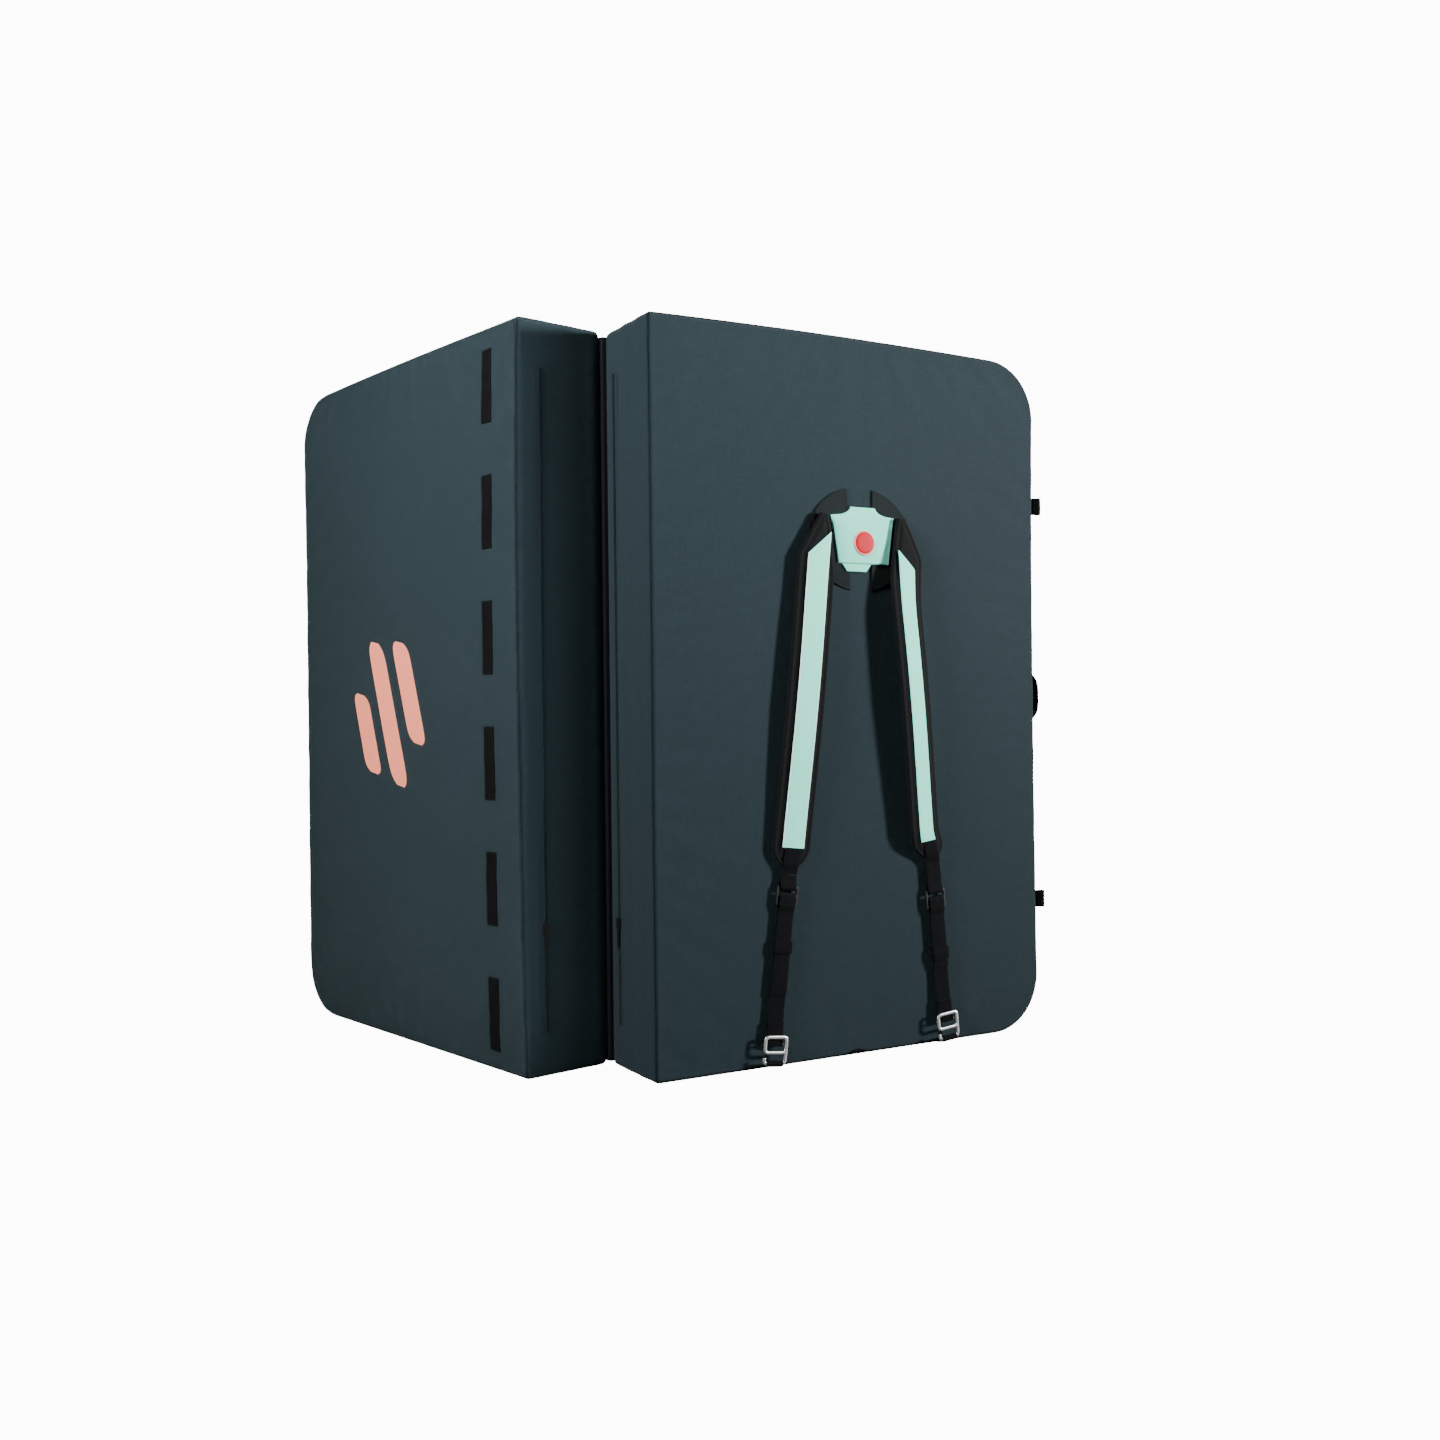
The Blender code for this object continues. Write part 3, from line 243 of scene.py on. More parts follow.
# %% [markdown]
# Webbing is woven with fine ribs that slant one way on its left half and the other way on its
# right half, between two firm selvedges. The group gives the rib's height and an edge mask.

# %% Webbing group
# Rib height is a sine of the length run plus the distance from the middle line. Edge rises
# from 0 to 1 over the last twelfth of the half width.
group, given = start_group("webbing_ribs", Pitch=0.0016, Half=0.0125)
do = partial(reckon, group)
split = add(group, "SeparateXYZ", {0: given["Vector"]})
out = do("ABSOLUTE", split[0])
run = do("ADD", do("MULTIPLY", out, 1.4), split[1])
rib = do("SINE", do("MULTIPLY", do("DIVIDE", run, given["Pitch"]), 2 * math.pi))
edge = remap(group, do("DIVIDE", out, given["Half"]), old=(0.86, 0.94))
RIBS = end_group(group, Height=do("MULTIPLY_ADD", rib, 0.5, 0.5), Edge=edge)

# %% [markdown]
# Cloth that has been carried about is never one even colour. A slow noise shades it in patches
# a hand's width across, and a finer one, of which only the peaks show, adds dust.

# %% Handling group
group, given = start_group("handling")
dust = remap(group, noise(group, given[0], 260.0, 2.0), old=(0.60, 0.80))
HANDLING = end_group(group, Patches=noise(group, given[0], 6.0, 3.0), Dust=dust)

# %% [markdown]
# The fabrics: canvas for covers and patches, webbing for straps. A fabric is its colour shaded by
# thread streaks and handling, a rough surface, a little sheen, and a bump from the weave. Threads
# follow the UV map, which is in metres; handling follows the object.

# %% Fabric materials
def shade(colour, factor):
    return (*[min(c * factor, 1.0) for c in colour[:3]], 1.0)


def canvas_material(name, colour, pitch=0.0009, relief=0.00014, sheen=0.04, contrast=0.16):
    """Plain-woven cloth: thread streaks and slow patches move the colour by the contrast."""
    made, tree = start_material(name, 0.86, {
        "Sheen Weight": sheen, "Sheen Roughness": 0.55, "Specular IOR Level": 0.1})
    spot = add(tree, "TexCoord")
    weave = add(tree, "Group", {"Vector": spot["UV"], "Pitch": pitch}, node_tree=WEAVE)
    handling = add(tree, "Group", {"Vector": spot["Object"]}, node_tree=HANDLING)
    tint = mix(tree, weave["Streak"], shade(colour, 1 - 2 * contrast), shade(colour, 1 + 2 * contrast))
    tint = mix(tree, remap(tree, handling["Patches"], new=(0.0, contrast)), tint, shade(colour, 1.5))
    tint = mix(tree, reckon(tree, "MULTIPLY", handling["Dust"], 0.10), tint, shade(colour, 3.0))
    seam = add(tree, "Attribute", attribute_name="seam")["Fac"]
    finish_material(tree, mix(tree, seam, tint, shade(colour, 0.12)), weave["Height"], relief, 0.8)
    return made


def webbing_material(name, colour, edge_colour, half_width, pitch=0.0016):
    """Ribbed webbing with firm selvedges in their own colour."""
    made, tree = start_material(name, 0.78, {"Sheen Weight": 0.012, "Specular IOR Level": 0.04})
    spot = add(tree, "TexCoord")
    ribs = add(tree, "Group", {"Vector": spot["UV"], "Pitch": pitch, "Half": half_width}, node_tree=RIBS)
    handling = add(tree, "Group", {"Vector": spot["Object"]}, node_tree=HANDLING)
    tint = mix(tree, ribs["Height"], shade(colour, 0.86), shade(colour, 1.10))
    tint = mix(tree, handling["Patches"], tint, shade(colour, 1.12))
    tint = mix(tree, ribs["Edge"], tint, shade(edge_colour, 1.0))
    finish_material(tree, tint, ribs["Height"], 0.00018, 0.9)
    return made


PETROL = (0.0106, 0.0214, 0.0264)
BLACK = (0.0028, 0.0031, 0.0036)
MINT = (0.21, 0.88, 0.65)
canvas = canvas_material("petrol_canvas", PETROL)
landing_canvas = canvas_material("landing_canvas", shade(PETROL, 0.85), pitch=0.0013, relief=0.0002)
hinge_canvas = canvas_material("hinge_canvas", (0.0024, 0.0027, 0.0058))
patch_cloth = canvas_material("patch_cloth", (0.0060, 0.0095, 0.0105), pitch=0.0006, contrast=0.10)
binding_cloth = canvas_material("binding_cloth", (0.0031, 0.0034, 0.0038), pitch=0.0007, sheen=0.015)
zip_cloth = canvas_material("zip_cloth", shade(PETROL, 0.92), pitch=0.0006, contrast=0.08)
mint_cloth = canvas_material("mint_cloth", MINT, pitch=0.0006, sheen=0.05, contrast=0.03)
coral_print = canvas_material("coral_print", (1.00, 0.27, 0.17), sheen=0.03, contrast=0.03)
black_webbing = webbing_material("black_webbing", BLACK, shade(BLACK, 1.6), 0.0125)
mint_webbing = webbing_material("mint_webbing", MINT, (0.62, 0.95, 0.84), 0.017, pitch=0.0022)
print("fabrics", len(bpy.data.materials))

# %% [markdown]
# The hard finishes. Cast aluminium is satin with fine scratches that break up its gloss; moulded
# nylon has a faint skin; foam is open and matt; loop tape is a mat of tiny curls.

# %% Hard and open materials
def metal_material():
    """Roughness follows noise drawn out along z, as tumbling and use leave it."""
    made, tree = start_material("satin_aluminium", 0.34, {"Metallic": 1.0})
    drawn = add(tree, "Mapping", {
        "Vector": add(tree, "TexCoord")["Object"], "Scale": (900.0, 900.0, 120.0)})
    marks = noise(tree, drawn[0], 1.0, 3.0)
    coat(tree, {"Roughness": remap(tree, marks, new=(0.24, 0.46))})
    tint = mix(tree, marks, (0.70, 0.71, 0.72, 1.0), (0.90, 0.90, 0.90, 1.0))
    finish_material(tree, tint, marks, 0.00004)
    return made


def grained_material(name, colour, roughness, scale, depth, contrast=0.15, cells=False, gloss=0.5):
    """Colour and bump from one fine noise, or from cells where the surface is a mat of curls."""
    made, tree = start_material(name, roughness, {"Specular IOR Level": gloss})
    spot = add(tree, "TexCoord")["Object"]
    grain = (add(tree, "TexVoronoi", {"Vector": spot, "Scale": scale})["Distance"] if cells
             else noise(tree, spot, scale, 4.0))
    tint = mix(tree, grain, shade(colour, 1 - contrast), shade(colour, 1 + contrast))
    finish_material(tree, tint, grain, depth)
    return made


satin_metal = metal_material()
black_nylon = grained_material("black_nylon", (0.0040, 0.0042, 0.0048), 0.48, 900.0, 0.00005, gloss=0.3)
zip_nylon = grained_material("zip_nylon", shade(PETROL, 0.85), 0.75, 900.0, 0.00005, gloss=0.1)
foam_cells = grained_material("open_foam", (0.60, 0.58, 0.50), 0.95, 420.0, 0.0006, 0.3)
loop_mat = grained_material("loop_mat", (0.0014, 0.0014, 0.0018), 0.92, 1500.0, 0.0006, 0.5, True, 0.12)
black_thread = grained_material("black_thread", (0.007, 0.007, 0.008), 0.7, 2500.0, 0.0001, 0.3, gloss=0.15)
mint_thread = grained_material("mint_thread", (0.55, 0.94, 0.80), 0.6, 2500.0, 0.0001)
print("materials", len(bpy.data.materials))

# %% [markdown]
# Shapes are worked out as whole arrays, never point by point, and a few steps recur in all of
# them: stacking x, y and z, going part of the way between two values, finding a path's
# direction, and drawing a section round it.

# %% Array helpers
def together(*parts):
    """Stacks values along a last axis, after stretching them to one shape."""
    return np.stack(np.broadcast_arrays(*parts), -1)


def between(low, high, share):
    return low + (high - low) * share


def smooth_step(share):
    """Rises from 0 to 1 and is level at both ends: 3 s^2 - 2 s^3."""
    share = np.clip(share, 0, 1)
    return share * share * (3 - 2 * share)


def unit(vectors):
    return vectors / np.linalg.norm(vectors, axis=-1, keepdims=True)


def even_path(path, spacing, closed=False):
    """Points at an even spacing along a path, and the path's length."""
    path = np.asarray(path, float)
    if closed:
        path = np.vstack((path, path[:1]))
    run = np.append(0, np.cumsum(np.linalg.norm(np.diff(path, axis=0), axis=1)))
    stops = np.linspace(0, run[-1], max(int(run[-1] / spacing), 3) + 1)
    if closed:
        stops = stops[:-1]
    return np.stack([np.interp(stops, run, axis) for axis in path.T], -1), run[-1]


def ahead_along(path, closed=False):
    """Unit direction of travel at each point of a path."""
    step = np.roll(path, -1, axis=0) - np.roll(path, 1, axis=0) if closed else np.gradient(path, axis=0)
    return unit(step)


def superellipse(points, flat, steep, start=0.0):
    """Signed powers of cosine and sine: under 1 they square the circle off."""
    turn = np.linspace(0, 2 * math.pi, points, endpoint=False) + start
    return np.array([np.sign(wave) * np.abs(wave) ** power
                     for wave, power in ((np.cos(turn), flat), (np.sin(turn), steep))])


def carried(path, across, up, over, rise):
    """A section of over and rise, carried along a path on its across and up directions."""
    return path[:, None] + across[:, None] * over[..., None] + up[:, None] * rise[..., None]


FLAT_SECTION = superellipse(20, 2 / 5, 2 / 2.2, math.pi / 20)
print("section points", FLAT_SECTION.shape[1])

# %% [markdown]
# Every new piece is a grid of points. The mesh maker turns such grids into one mesh: it numbers
# the four corners of each square, wraps the grid round where it closes on itself, caps open
# ends, welds shared rims and turns the faces outwards.

# %% Mesh maker
WELD = 0.00002


def grid_squares(rows, cols, wrap_rows=False, wrap_cols=False):
    """Corner numbers of each square, as vertices of the wrapped grid and as the unwrapped one."""
    row, col = np.meshgrid(np.arange(rows - 1 + wrap_rows), np.arange(cols - 1 + wrap_cols), indexing="ij")
    corners = [(row, col), (row, col + 1), (row + 1, col + 1), (row + 1, col)]
    wrapped = np.stack([(a % rows) * cols + b % cols for a, b in corners], -1).reshape(-1, 4)
    plain = np.stack([a * (cols + wrap_cols) + b for a, b in corners], -1).reshape(-1, 4)
    return wrapped, plain


def make_piece(name, grids, smooth_angle=40, caps=True, seams=None, cloths=None):
    """A mesh from grids of (points, uv, wrap_rows, wrap_cols). uv has one row or column more
    than points where the grid wraps, so that a pattern runs on over the join. seams marks
    each point that lies in a seam's groove, from 0 to 1; cloths is each grid's material."""
    points, faces, uvs, ends, numbers, first = [], [], [], [], [], 0
    for index, (grid, uv, wrap_rows, wrap_cols) in enumerate(grids):
        rows, cols = grid.shape[:2]
        wrapped, plain = grid_squares(rows, cols, wrap_rows, wrap_cols)
        uv = np.zeros((rows + wrap_rows, cols + wrap_cols, 2)) if uv is None else uv
        points.append(grid.reshape(-1, 3))
        faces.append(wrapped + first)
        uvs.append(uv.reshape(-1, 2)[plain].reshape(-1, 2))
        numbers += [cloths[index] if cloths else 0] * len(wrapped)
        if caps and wrap_cols and not wrap_rows:
            last = first + (rows - 1) * cols
            ends += [list(range(first + cols - 1, first - 1, -1)), list(range(last, last + cols))]
        first += rows * cols
    mesh = bpy.data.meshes.new(name)
    mesh.from_pydata(np.concatenate(points).tolist(), [], np.concatenate(faces).tolist() + ends)
    uvs = np.concatenate(uvs)
    flat = np.zeros((len(mesh.loops), 2))
    flat[:len(uvs)] = uvs
    mesh.uv_layers.new(name="metres").data.foreach_set("uv", flat.ravel())
    mesh.polygons.foreach_set("material_index", numbers + [0] * len(ends))
    if seams:
        mark = mesh.attributes.new("seam", "FLOAT", "POINT")
        mark.data.foreach_set("value", np.concatenate([each.ravel() for each in seams]))
    bm = bmesh.new()
    bm.from_mesh(mesh)
    bmesh.ops.remove_doubles(bm, verts=bm.verts, dist=WELD)
    bmesh.ops.recalc_face_normals(bm, faces=bm.faces)
    bm.to_mesh(mesh)
    bm.free()
    mesh.shade_smooth()
    if smooth_angle:
        mesh.set_sharp_from_angle(angle=math.radians(smooth_angle))
    return put(name, mesh)


def finish_with(piece, *materials):
    piece.data.materials.clear()
    for each in materials:
        piece.data.materials.append(each)


def dress(piece, body, slot, *materials, replaces=(), padded=None):
    """Gives a piece its materials and its body, and hides the nodes it stands for. The slot is not used."""
    finish_with(piece, *materials)
    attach(piece, body)
    if replaces:
        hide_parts(*replaces)
    print(piece.name, len(piece.data.vertices), "points on", body)


# %% [markdown]
# A panel is measured from the fold: u across it, v up it, and d from its landing face to its
# outer face. One function turns those measures into places, for both panels, from the fold's
# joint. Sizes repeat the ones that the solids were built from.

# %% Panel measures
WIDTH, HEIGHT, THICKNESS = 0.650, 1.000, 0.130
SPINE_SETBACK, LANDING_SETBACK = 0.003, 0.002
FREE_CORNER, SPINE_CORNER = 0.082, 0.007
FREE_DRAW_IN = 0.0032
TOP_RISE = 0.0035
SPINE_TOP_RISE = {1: 0.0010, -1: 0.0045}
FOLD_SPOT = np.array((*joints["pad_fold"]["pos_m"][:2], 0.0))
AXES = {}
for side, turn in ((1, 0.0), (-1, -math.radians(joints["pad_fold"]["range_deg"][1]))):
    AXES[side] = np.array(((side * math.cos(turn), side * math.sin(turn), 0.0),
                           (math.sin(turn), -math.cos(turn), 0.0), (0.0, 0.0, 1.0)))
OUT = {side: axes[1] for side, axes in AXES.items()}


def on_panel(side, u, v, d):
    """The fold's spot, plus u across the panel, d out of its face and v up."""
    across, out, up = AXES[side]
    u, v, d = (each[..., None] for each in np.broadcast_arrays(SPINE_SETBACK + u, v, LANDING_SETBACK + d))
    return FOLD_SPOT + u * across + d * out + v * up


print("fold at", FOLD_SPOT.round(4))

# %% [markdown]
# The cover's outline is a rectangle with round free corners and almost square spine corners.
# Its signed distance tells how far any point lies inside the rim, which is all that the rounding
# of the edges, the seam's groove and the puckers need.

# %% Cover outline
def rim_distance(u, v):
    """Distance inside the rim: that of a box whose corners have the radius of their side."""
    corner = np.where(u < WIDTH / 2, SPINE_CORNER, FREE_CORNER)
    over_u = np.abs(u - WIDTH / 2) - (WIDTH / 2 - corner)
    over_v = np.abs(v - HEIGHT / 2) - (HEIGHT / 2 - corner)
    outside = np.hypot(np.maximum(over_u, 0), np.maximum(over_v, 0))
    return corner - outside - np.minimum(np.maximum(over_u, over_v), 0)


def rim_outward(u, v, step=0.00002):
    """Unit direction out of the rim, by differences of the distance."""
    slope = np.stack((rim_distance(u - step, v) - rim_distance(u + step, v),
                      rim_distance(u, v - step) - rim_distance(u, v + step)))
    return slope / np.maximum(np.hypot(*slope), step / 100)


def rounding(inset, radius):
    """Depth lost to a round edge at a distance inside it: a quarter circle."""
    reach = np.clip(radius - inset, 0, radius)
    return radius - np.sqrt(np.maximum(radius ** 2 - reach ** 2, 0))


def draw_in(u, v, side=1):
    """Moves ideal measures to the real ones. The free edge is pulled in between its corners by
    a parabola; the top is pushed up by the foam between its corners and at the spine."""
    rise = np.clip((v - FREE_CORNER) / (HEIGHT - 2 * FREE_CORNER), 0, 1)
    run = np.clip((u - SPINE_CORNER) / (WIDTH - SPINE_CORNER - FREE_CORNER), 0, 1)
    pulled_u = u - FREE_DRAW_IN * 4 * rise * (1 - rise) * np.clip(u / WIDTH, 0, 1.1) ** 2
    push = TOP_RISE * 4 * run * (1 - run) + SPINE_TOP_RISE[side] * (1 - run) ** 2
    return pulled_u, v + push * np.clip(v / HEIGHT, 0, 1.1) ** 4


def face_grid(inset):
    """Grid of u and v over the face inside the rim by inset. Rows are close together where the
    corners turn, and each row runs from rim to rim; columns are shares of the row."""
    free, spine = FREE_CORNER - inset, SPINE_CORNER - inset
    turn = free * (1 - np.cos(np.linspace(0, math.pi / 2, 15)))
    middle = np.linspace(FREE_CORNER, HEIGHT - FREE_CORNER, 78)
    rows = np.concatenate((inset + turn[:-1], middle, HEIGHT - inset - turn[-2::-1]))
    near = np.minimum(rows, HEIGHT - rows) - inset
    left, right = inset + rounding(near, spine), WIDTH - inset - rounding(near, free)
    edge = np.array((0, 0.7, 1.9, 3.4, 5.0, 6.8, 12, 20)) / 1000 / WIDTH
    shares = np.concatenate((edge, np.linspace(0.030 / WIDTH, 1 - 0.030 / WIDTH, 54), 1 - edge[::-1]))
    return np.stack(np.broadcast_arrays(between(left[:, None], right[:, None], shares), rows[:, None]))


def grid_loop(grid):
    """The rim of a grid as one loop: foot, free side, top, spine side."""
    return np.concatenate((grid[0, :-1], grid[:-1, -1], grid[-1, :0:-1], grid[:0:-1, 0]))


print("face grid", face_grid(0.002).shape)

# %% [markdown]
# The outer face is crowned by the foam, rounds over at its rim and ripples where the seam has
# gathered it. The foam also wants to push the strip panel's spine ridge out at mid height, and
# the photograph shows that bow. These are sums of smooth terms, so they can be tuned one by one.

# %% Face relief
RIDGE_RADIUS = 0.006
SEAM_SHARE = 1 - math.sin(math.radians(45))
OUTER_CROWN = 0.006
RIDGE_BOW = {1: 0.0008, -1: 0.0080}
TOP_BOW = {1: 0.0006, -1: 0.0055}
BOW_FADE = 0.060
RIPPLES = ((0.0830, 0.45, 0.7), (0.0470, 0.33, 2.1), (0.0291, 0.22, 4.4))
PUCKER, PUCKER_FADE = 0.0007, 0.022
BROAD_HOLLOW, SMALL_HOLLOW = 0.0007, 0.0003


def ripple(run, offset):
    """A sum of sines along a seam, each with its own length and strength."""
    return sum(strength * np.sin(2 * math.pi * run / length + phase + offset)
               for length, strength, phase in RIPPLES)


def hump(x, whole):
    """Flat in the middle and falling off near both ends, as one minus a cube."""
    return np.maximum(1 - np.abs(2 * x / whole - 1) ** 3, 0)


def near_seams(u, v, fade):
    """How near the side seams and the end seams are: 1 on the seam, fading inwards."""
    return [np.exp(-np.minimum(x, whole - x) / fade) for x, whole in ((u, WIDTH), (v, HEIGHT))]


def puckers(side, u, v):
    """Ripples that run square to the nearest seam and fade within a few centimetres of it."""
    beside, ends = near_seams(u, v, PUCKER_FADE)
    return PUCKER * (beside * ripple(v, side) + ends * ripple(u, side + 2))


def undulation(side, u, v):
    """Slow hollows of the foam under the cloth, a few tenths of a millimetre."""
    return (BROAD_HOLLOW * np.sin(7.1 * u + 4.3 * v + side) * np.sin(5.3 * v - 2.9 * u + 2 * side)
            + SMALL_HOLLOW * np.sin(17.0 * u - 6.0 * v + 3 * side) * np.sin(13.0 * v + 5.0 * u))


def ridge_bow(side, u, v):
    """Bow of the spine ridge: a parabola over its height and a cube that grows to the top."""
    share = v / HEIGHT
    return (RIDGE_BOW[side] * 4 * share * (1 - share) + TOP_BOW[side] * share ** 3) * np.exp(-u / BOW_FADE)


def outer_depth(side, u, v):
    """Depth of the outer face: thickness, crown, bow, hollows and puckers, less the rounding."""
    shape = (OUTER_CROWN * hump(u, WIDTH) * hump(v, HEIGHT) + ridge_bow(side, u, v)
             + undulation(side, u, v) + puckers(side, u, v))
    return THICKNESS + shape - rounding(rim_distance(u, v), RIDGE_RADIUS)


cloth_lift = {}


def simulated_lift(side, u, v):
    """What the cloth simulation added to the outer face, read between its grid's points."""
    if side not in cloth_lift:
        return 0.0
    lift = cloth_lift[side]
    row, col = (np.clip(x, 0, 1) * (count - 1) for x, count in zip((v / HEIGHT, u / WIDTH), lift.shape))
    low_row, low_col = (np.minimum(x.astype(int), count - 2) for x, count in zip((row, col), lift.shape))
    lower, upper = (between(lift[each, low_col], lift[each, low_col + 1], col - low_col)
                    for each in (low_row, low_row + 1))
    return between(lower, upper, row - low_row)


def outer_spot(side, u, v, lift=0.0):
    """A place over the dressed outer face, for whatever is sewn to it."""
    u, v = np.broadcast_arrays(u, v)
    return on_panel(side, u, v, outer_depth(side, u, v) + simulated_lift(side, u, v) + lift)


print("depth at the middle", round(float(outer_depth(1, 0.325, 0.5)), 4))

# %% [markdown]
# The canvas is stuffed with foam, and real cloth finds its own hollows between the seams. A
# cloth simulation finds them here: the face is a grid a little larger than its place, held at
# its rim, pressed outwards from inside and free of gravity. How far each point moves is kept,
# within a limit, and the cover and all that is sewn to it are then built on that relief.

# %% Cloth simulation
SIMULATION_FRAMES = 20
PRESSURE = 4.0
SLACK = 0.012
LIFT_LIMIT = 0.0015
PINNED_RIM, RIM_FADE = 0.006, 0.012
FOLD_REACH = 0.075
FOAM_ROOM = 0.0005


def running_mean(values, axis, reach):
    """Mean along one axis over reach points on each side."""
    around = [(0, 0), (0, 0)]
    around[axis] = (reach, reach)
    kernel = np.ones(2 * reach + 1) / (2 * reach + 1)
    return np.apply_along_axis(np.convolve, axis, np.pad(values, around, mode="edge"), kernel, "valid")


def small_folds(u, v, lift):
    """The folds in a settled face, without the ballooning: what stands over the mean taken
    along the nearer seam, fading inwards, and nothing at the rim itself."""
    beside, ends = near_seams(u, v, FOLD_REACH)
    folds = beside * (lift - running_mean(lift, 0, 5)) + ends * (lift - running_mean(lift, 1, 4))
    rim = smooth_step((rim_distance(u, v) - PINNED_RIM) / RIM_FADE)
    return LIFT_LIMIT * np.tanh(np.maximum(folds, -FOAM_ROOM) / LIFT_LIMIT) * rim


def settled_face(side):
    """Lift of the outer face after the simulation, on an even grid, for simulated_lift."""
    v, u = np.meshgrid(np.linspace(0, HEIGHT, 97), np.linspace(0, 1, 63) * WIDTH, indexing="ij")
    start = on_panel(side, u, v, outer_depth(side, u, v))
    faces, _ = grid_squares(*u.shape)
    mesh = bpy.data.meshes.new("face_cloth")
    mesh.from_pydata(start.reshape(-1, 3).tolist(), [], faces[:, ::side].tolist())
    cloth = put("face_cloth", mesh)
    held = cloth.vertex_groups.new(name="held")
    held.add(np.flatnonzero(rim_distance(u, v).ravel() < PINNED_RIM).tolist(), 1.0, "REPLACE")
    modifier = cloth.modifiers.new("cloth", "CLOTH")
    settings = modifier.settings
    settings.vertex_group_mass = "held"
    settings.use_pressure = True
    settings.uniform_pressure_force = PRESSURE
    settings.shrink_min = settings.shrink_max = -SLACK
    settings.bending_stiffness = 0.4
    settings.effector_weights.gravity = 0.0
    modifier.point_cache.frame_end = SIMULATION_FRAMES
    for step in range(1, SIMULATION_FRAMES + 1):
        bpy.context.scene.frame_set(step)
    moved = cloth.evaluated_get(bpy.context.evaluated_depsgraph_get()).to_mesh()
    flat = np.empty(start.size)
    moved.vertices.foreach_get("co", flat)
    lift = (flat.reshape(start.shape) - start) @ OUT[side]
    bpy.data.objects.remove(cloth)
    bpy.context.scene.frame_set(1)
    print("cloth", side, "rose", round(float(lift.max()), 4))
    return small_folds(u, v, lift)


for side in (1, -1):
    cloth_lift[side] = settled_face(side)

# %% [markdown]
# A panel's cover is one closed form in three cloths: the outer face, a boxing strip round the
# walls and the landing face. They meet in grooved seams. The boxing bulges a little over the
# foam, and on the spine walls it hangs in shallow upright folds.

# %% Panel covers
LANDING_RADIUS = 0.004
LANDING_CROWN = 0.0012
SEAM_GROOVE, SEAM_WIDTH = 0.0018, 0.0010
SEAM_ROLL, ROLL_WIDTH = 0.0005, 0.0040
RIM_DEGREES = (49, 54, 62, 74, 90)
WALL_BULGE, WALL_RIPPLE = 0.0010, 0.0003
SPINE_BULGE = {1: 0.0012, -1: 0.0016}
SPINE_PLEATS = {1: 0.0013, -1: 0.0004}
WIDE_PLEAT, NARROW_PLEAT = 0.043, 0.019
SPINE_STAND, SPINE_LIMIT = 0.0004, 0.0025
FOLD_SWELL, FOLD_FADE = 0.0024, 0.022


def bell(distance, width):
    return np.exp(-(distance / width) ** 2)


def seam_groove(off):
    """Depth of the seam's groove: a bell curve over the distance from the seam, less a wider
    and lower one for the rolls of cloth that the stitching leaves on both sides."""
    return (SEAM_GROOVE + SEAM_ROLL) * bell(off, SEAM_WIDTH) - SEAM_ROLL * bell(off, ROLL_WIDTH)


def seam_mark(off):
    """How dark the seam's shadowed thread shows, by the distance from it."""
    return bell(off, 0.7 * SEAM_WIDTH)


def wall_swell(side, u, v, depth):
    """How far the boxing stands out: a half sine over its width, pleated on the spine."""
    belly = math.sin(math.pi * depth / THICKNESS)
    on_spine = bell(np.maximum(u, 0), 0.02)
    sway = 0.9 * np.sin(4.1 * v + side) + 0.5 * np.sin(11.0 * v + 2 * side)
    wide = np.sin(2 * math.pi * depth / WIDE_PLEAT + sway) * (0.7 + 0.3 * np.sin(7.0 * v))
    narrow = np.sin(2 * math.pi * depth / NARROW_PLEAT - 1.3 * sway + 2.0) * np.sin(5.0 * v + 1.0) ** 2
    middle = 4 * v * (HEIGHT - v)
    fold = FOLD_SWELL * bell(depth, FOLD_FADE) * np.clip(6 * middle, 0, 1)
    spine = belly * (SPINE_BULGE[side] * middle + SPINE_PLEATS[side] * (0.6 * wide + 0.4 * narrow))
    spine = np.minimum(np.maximum(spine + SPINE_STAND, fold), SPINE_LIMIT)
    return between(belly * (WALL_BULGE + WALL_RIPPLE * ripple(v + u, side)), spine, on_spine)


def cover_face(side, sense):
    """One face of a cover, as measures, and the rings that round its rim over from the seam to
    the wall, with how dark each shows. sense is 1 for the outer face, -1 for the landing."""
    radius, level = (RIDGE_RADIUS, THICKNESS) if sense > 0 else (LANDING_RADIUS, 0.0)
    seam = radius * SEAM_SHARE
    spots = face_grid(seam)
    inset = rim_distance(*spots)
    groove = seam_groove(inset - seam)
    if sense > 0:
        depth = outer_depth(side, *spots)
    else:
        depth = rounding(inset, radius) - LANDING_CROWN * hump(spots[0], WIDTH) * hump(spots[1], HEIGHT)
    face = together(*(spots - rim_outward(*spots) * groove * 2 * SEAM_SHARE), depth - sense * groove)
    relief = grid_loop(depth) - level + radius * SEAM_SHARE if sense > 0 else 0.0
    loop = np.stack([grid_loop(each) for each in spots])
    out = rim_outward(*loop)
    rings, marks = [grid_loop(face)], [1.0]
    for degrees in RIM_DEGREES:
        angle = math.radians(degrees)
        beyond = seam - radius * (1 - math.sin(angle))
        dip = seam_groove(beyond)
        lost = radius * (1 - math.cos(angle)) + dip * SEAM_SHARE
        height = level - sense * lost + relief * (90 - degrees) / 45
        rings.append(together(*(loop + out * (beyond - dip)), height))
        marks.append(seam_mark(beyond))
    return face, seam_mark(inset - seam), rings, marks, loop + out * seam, out


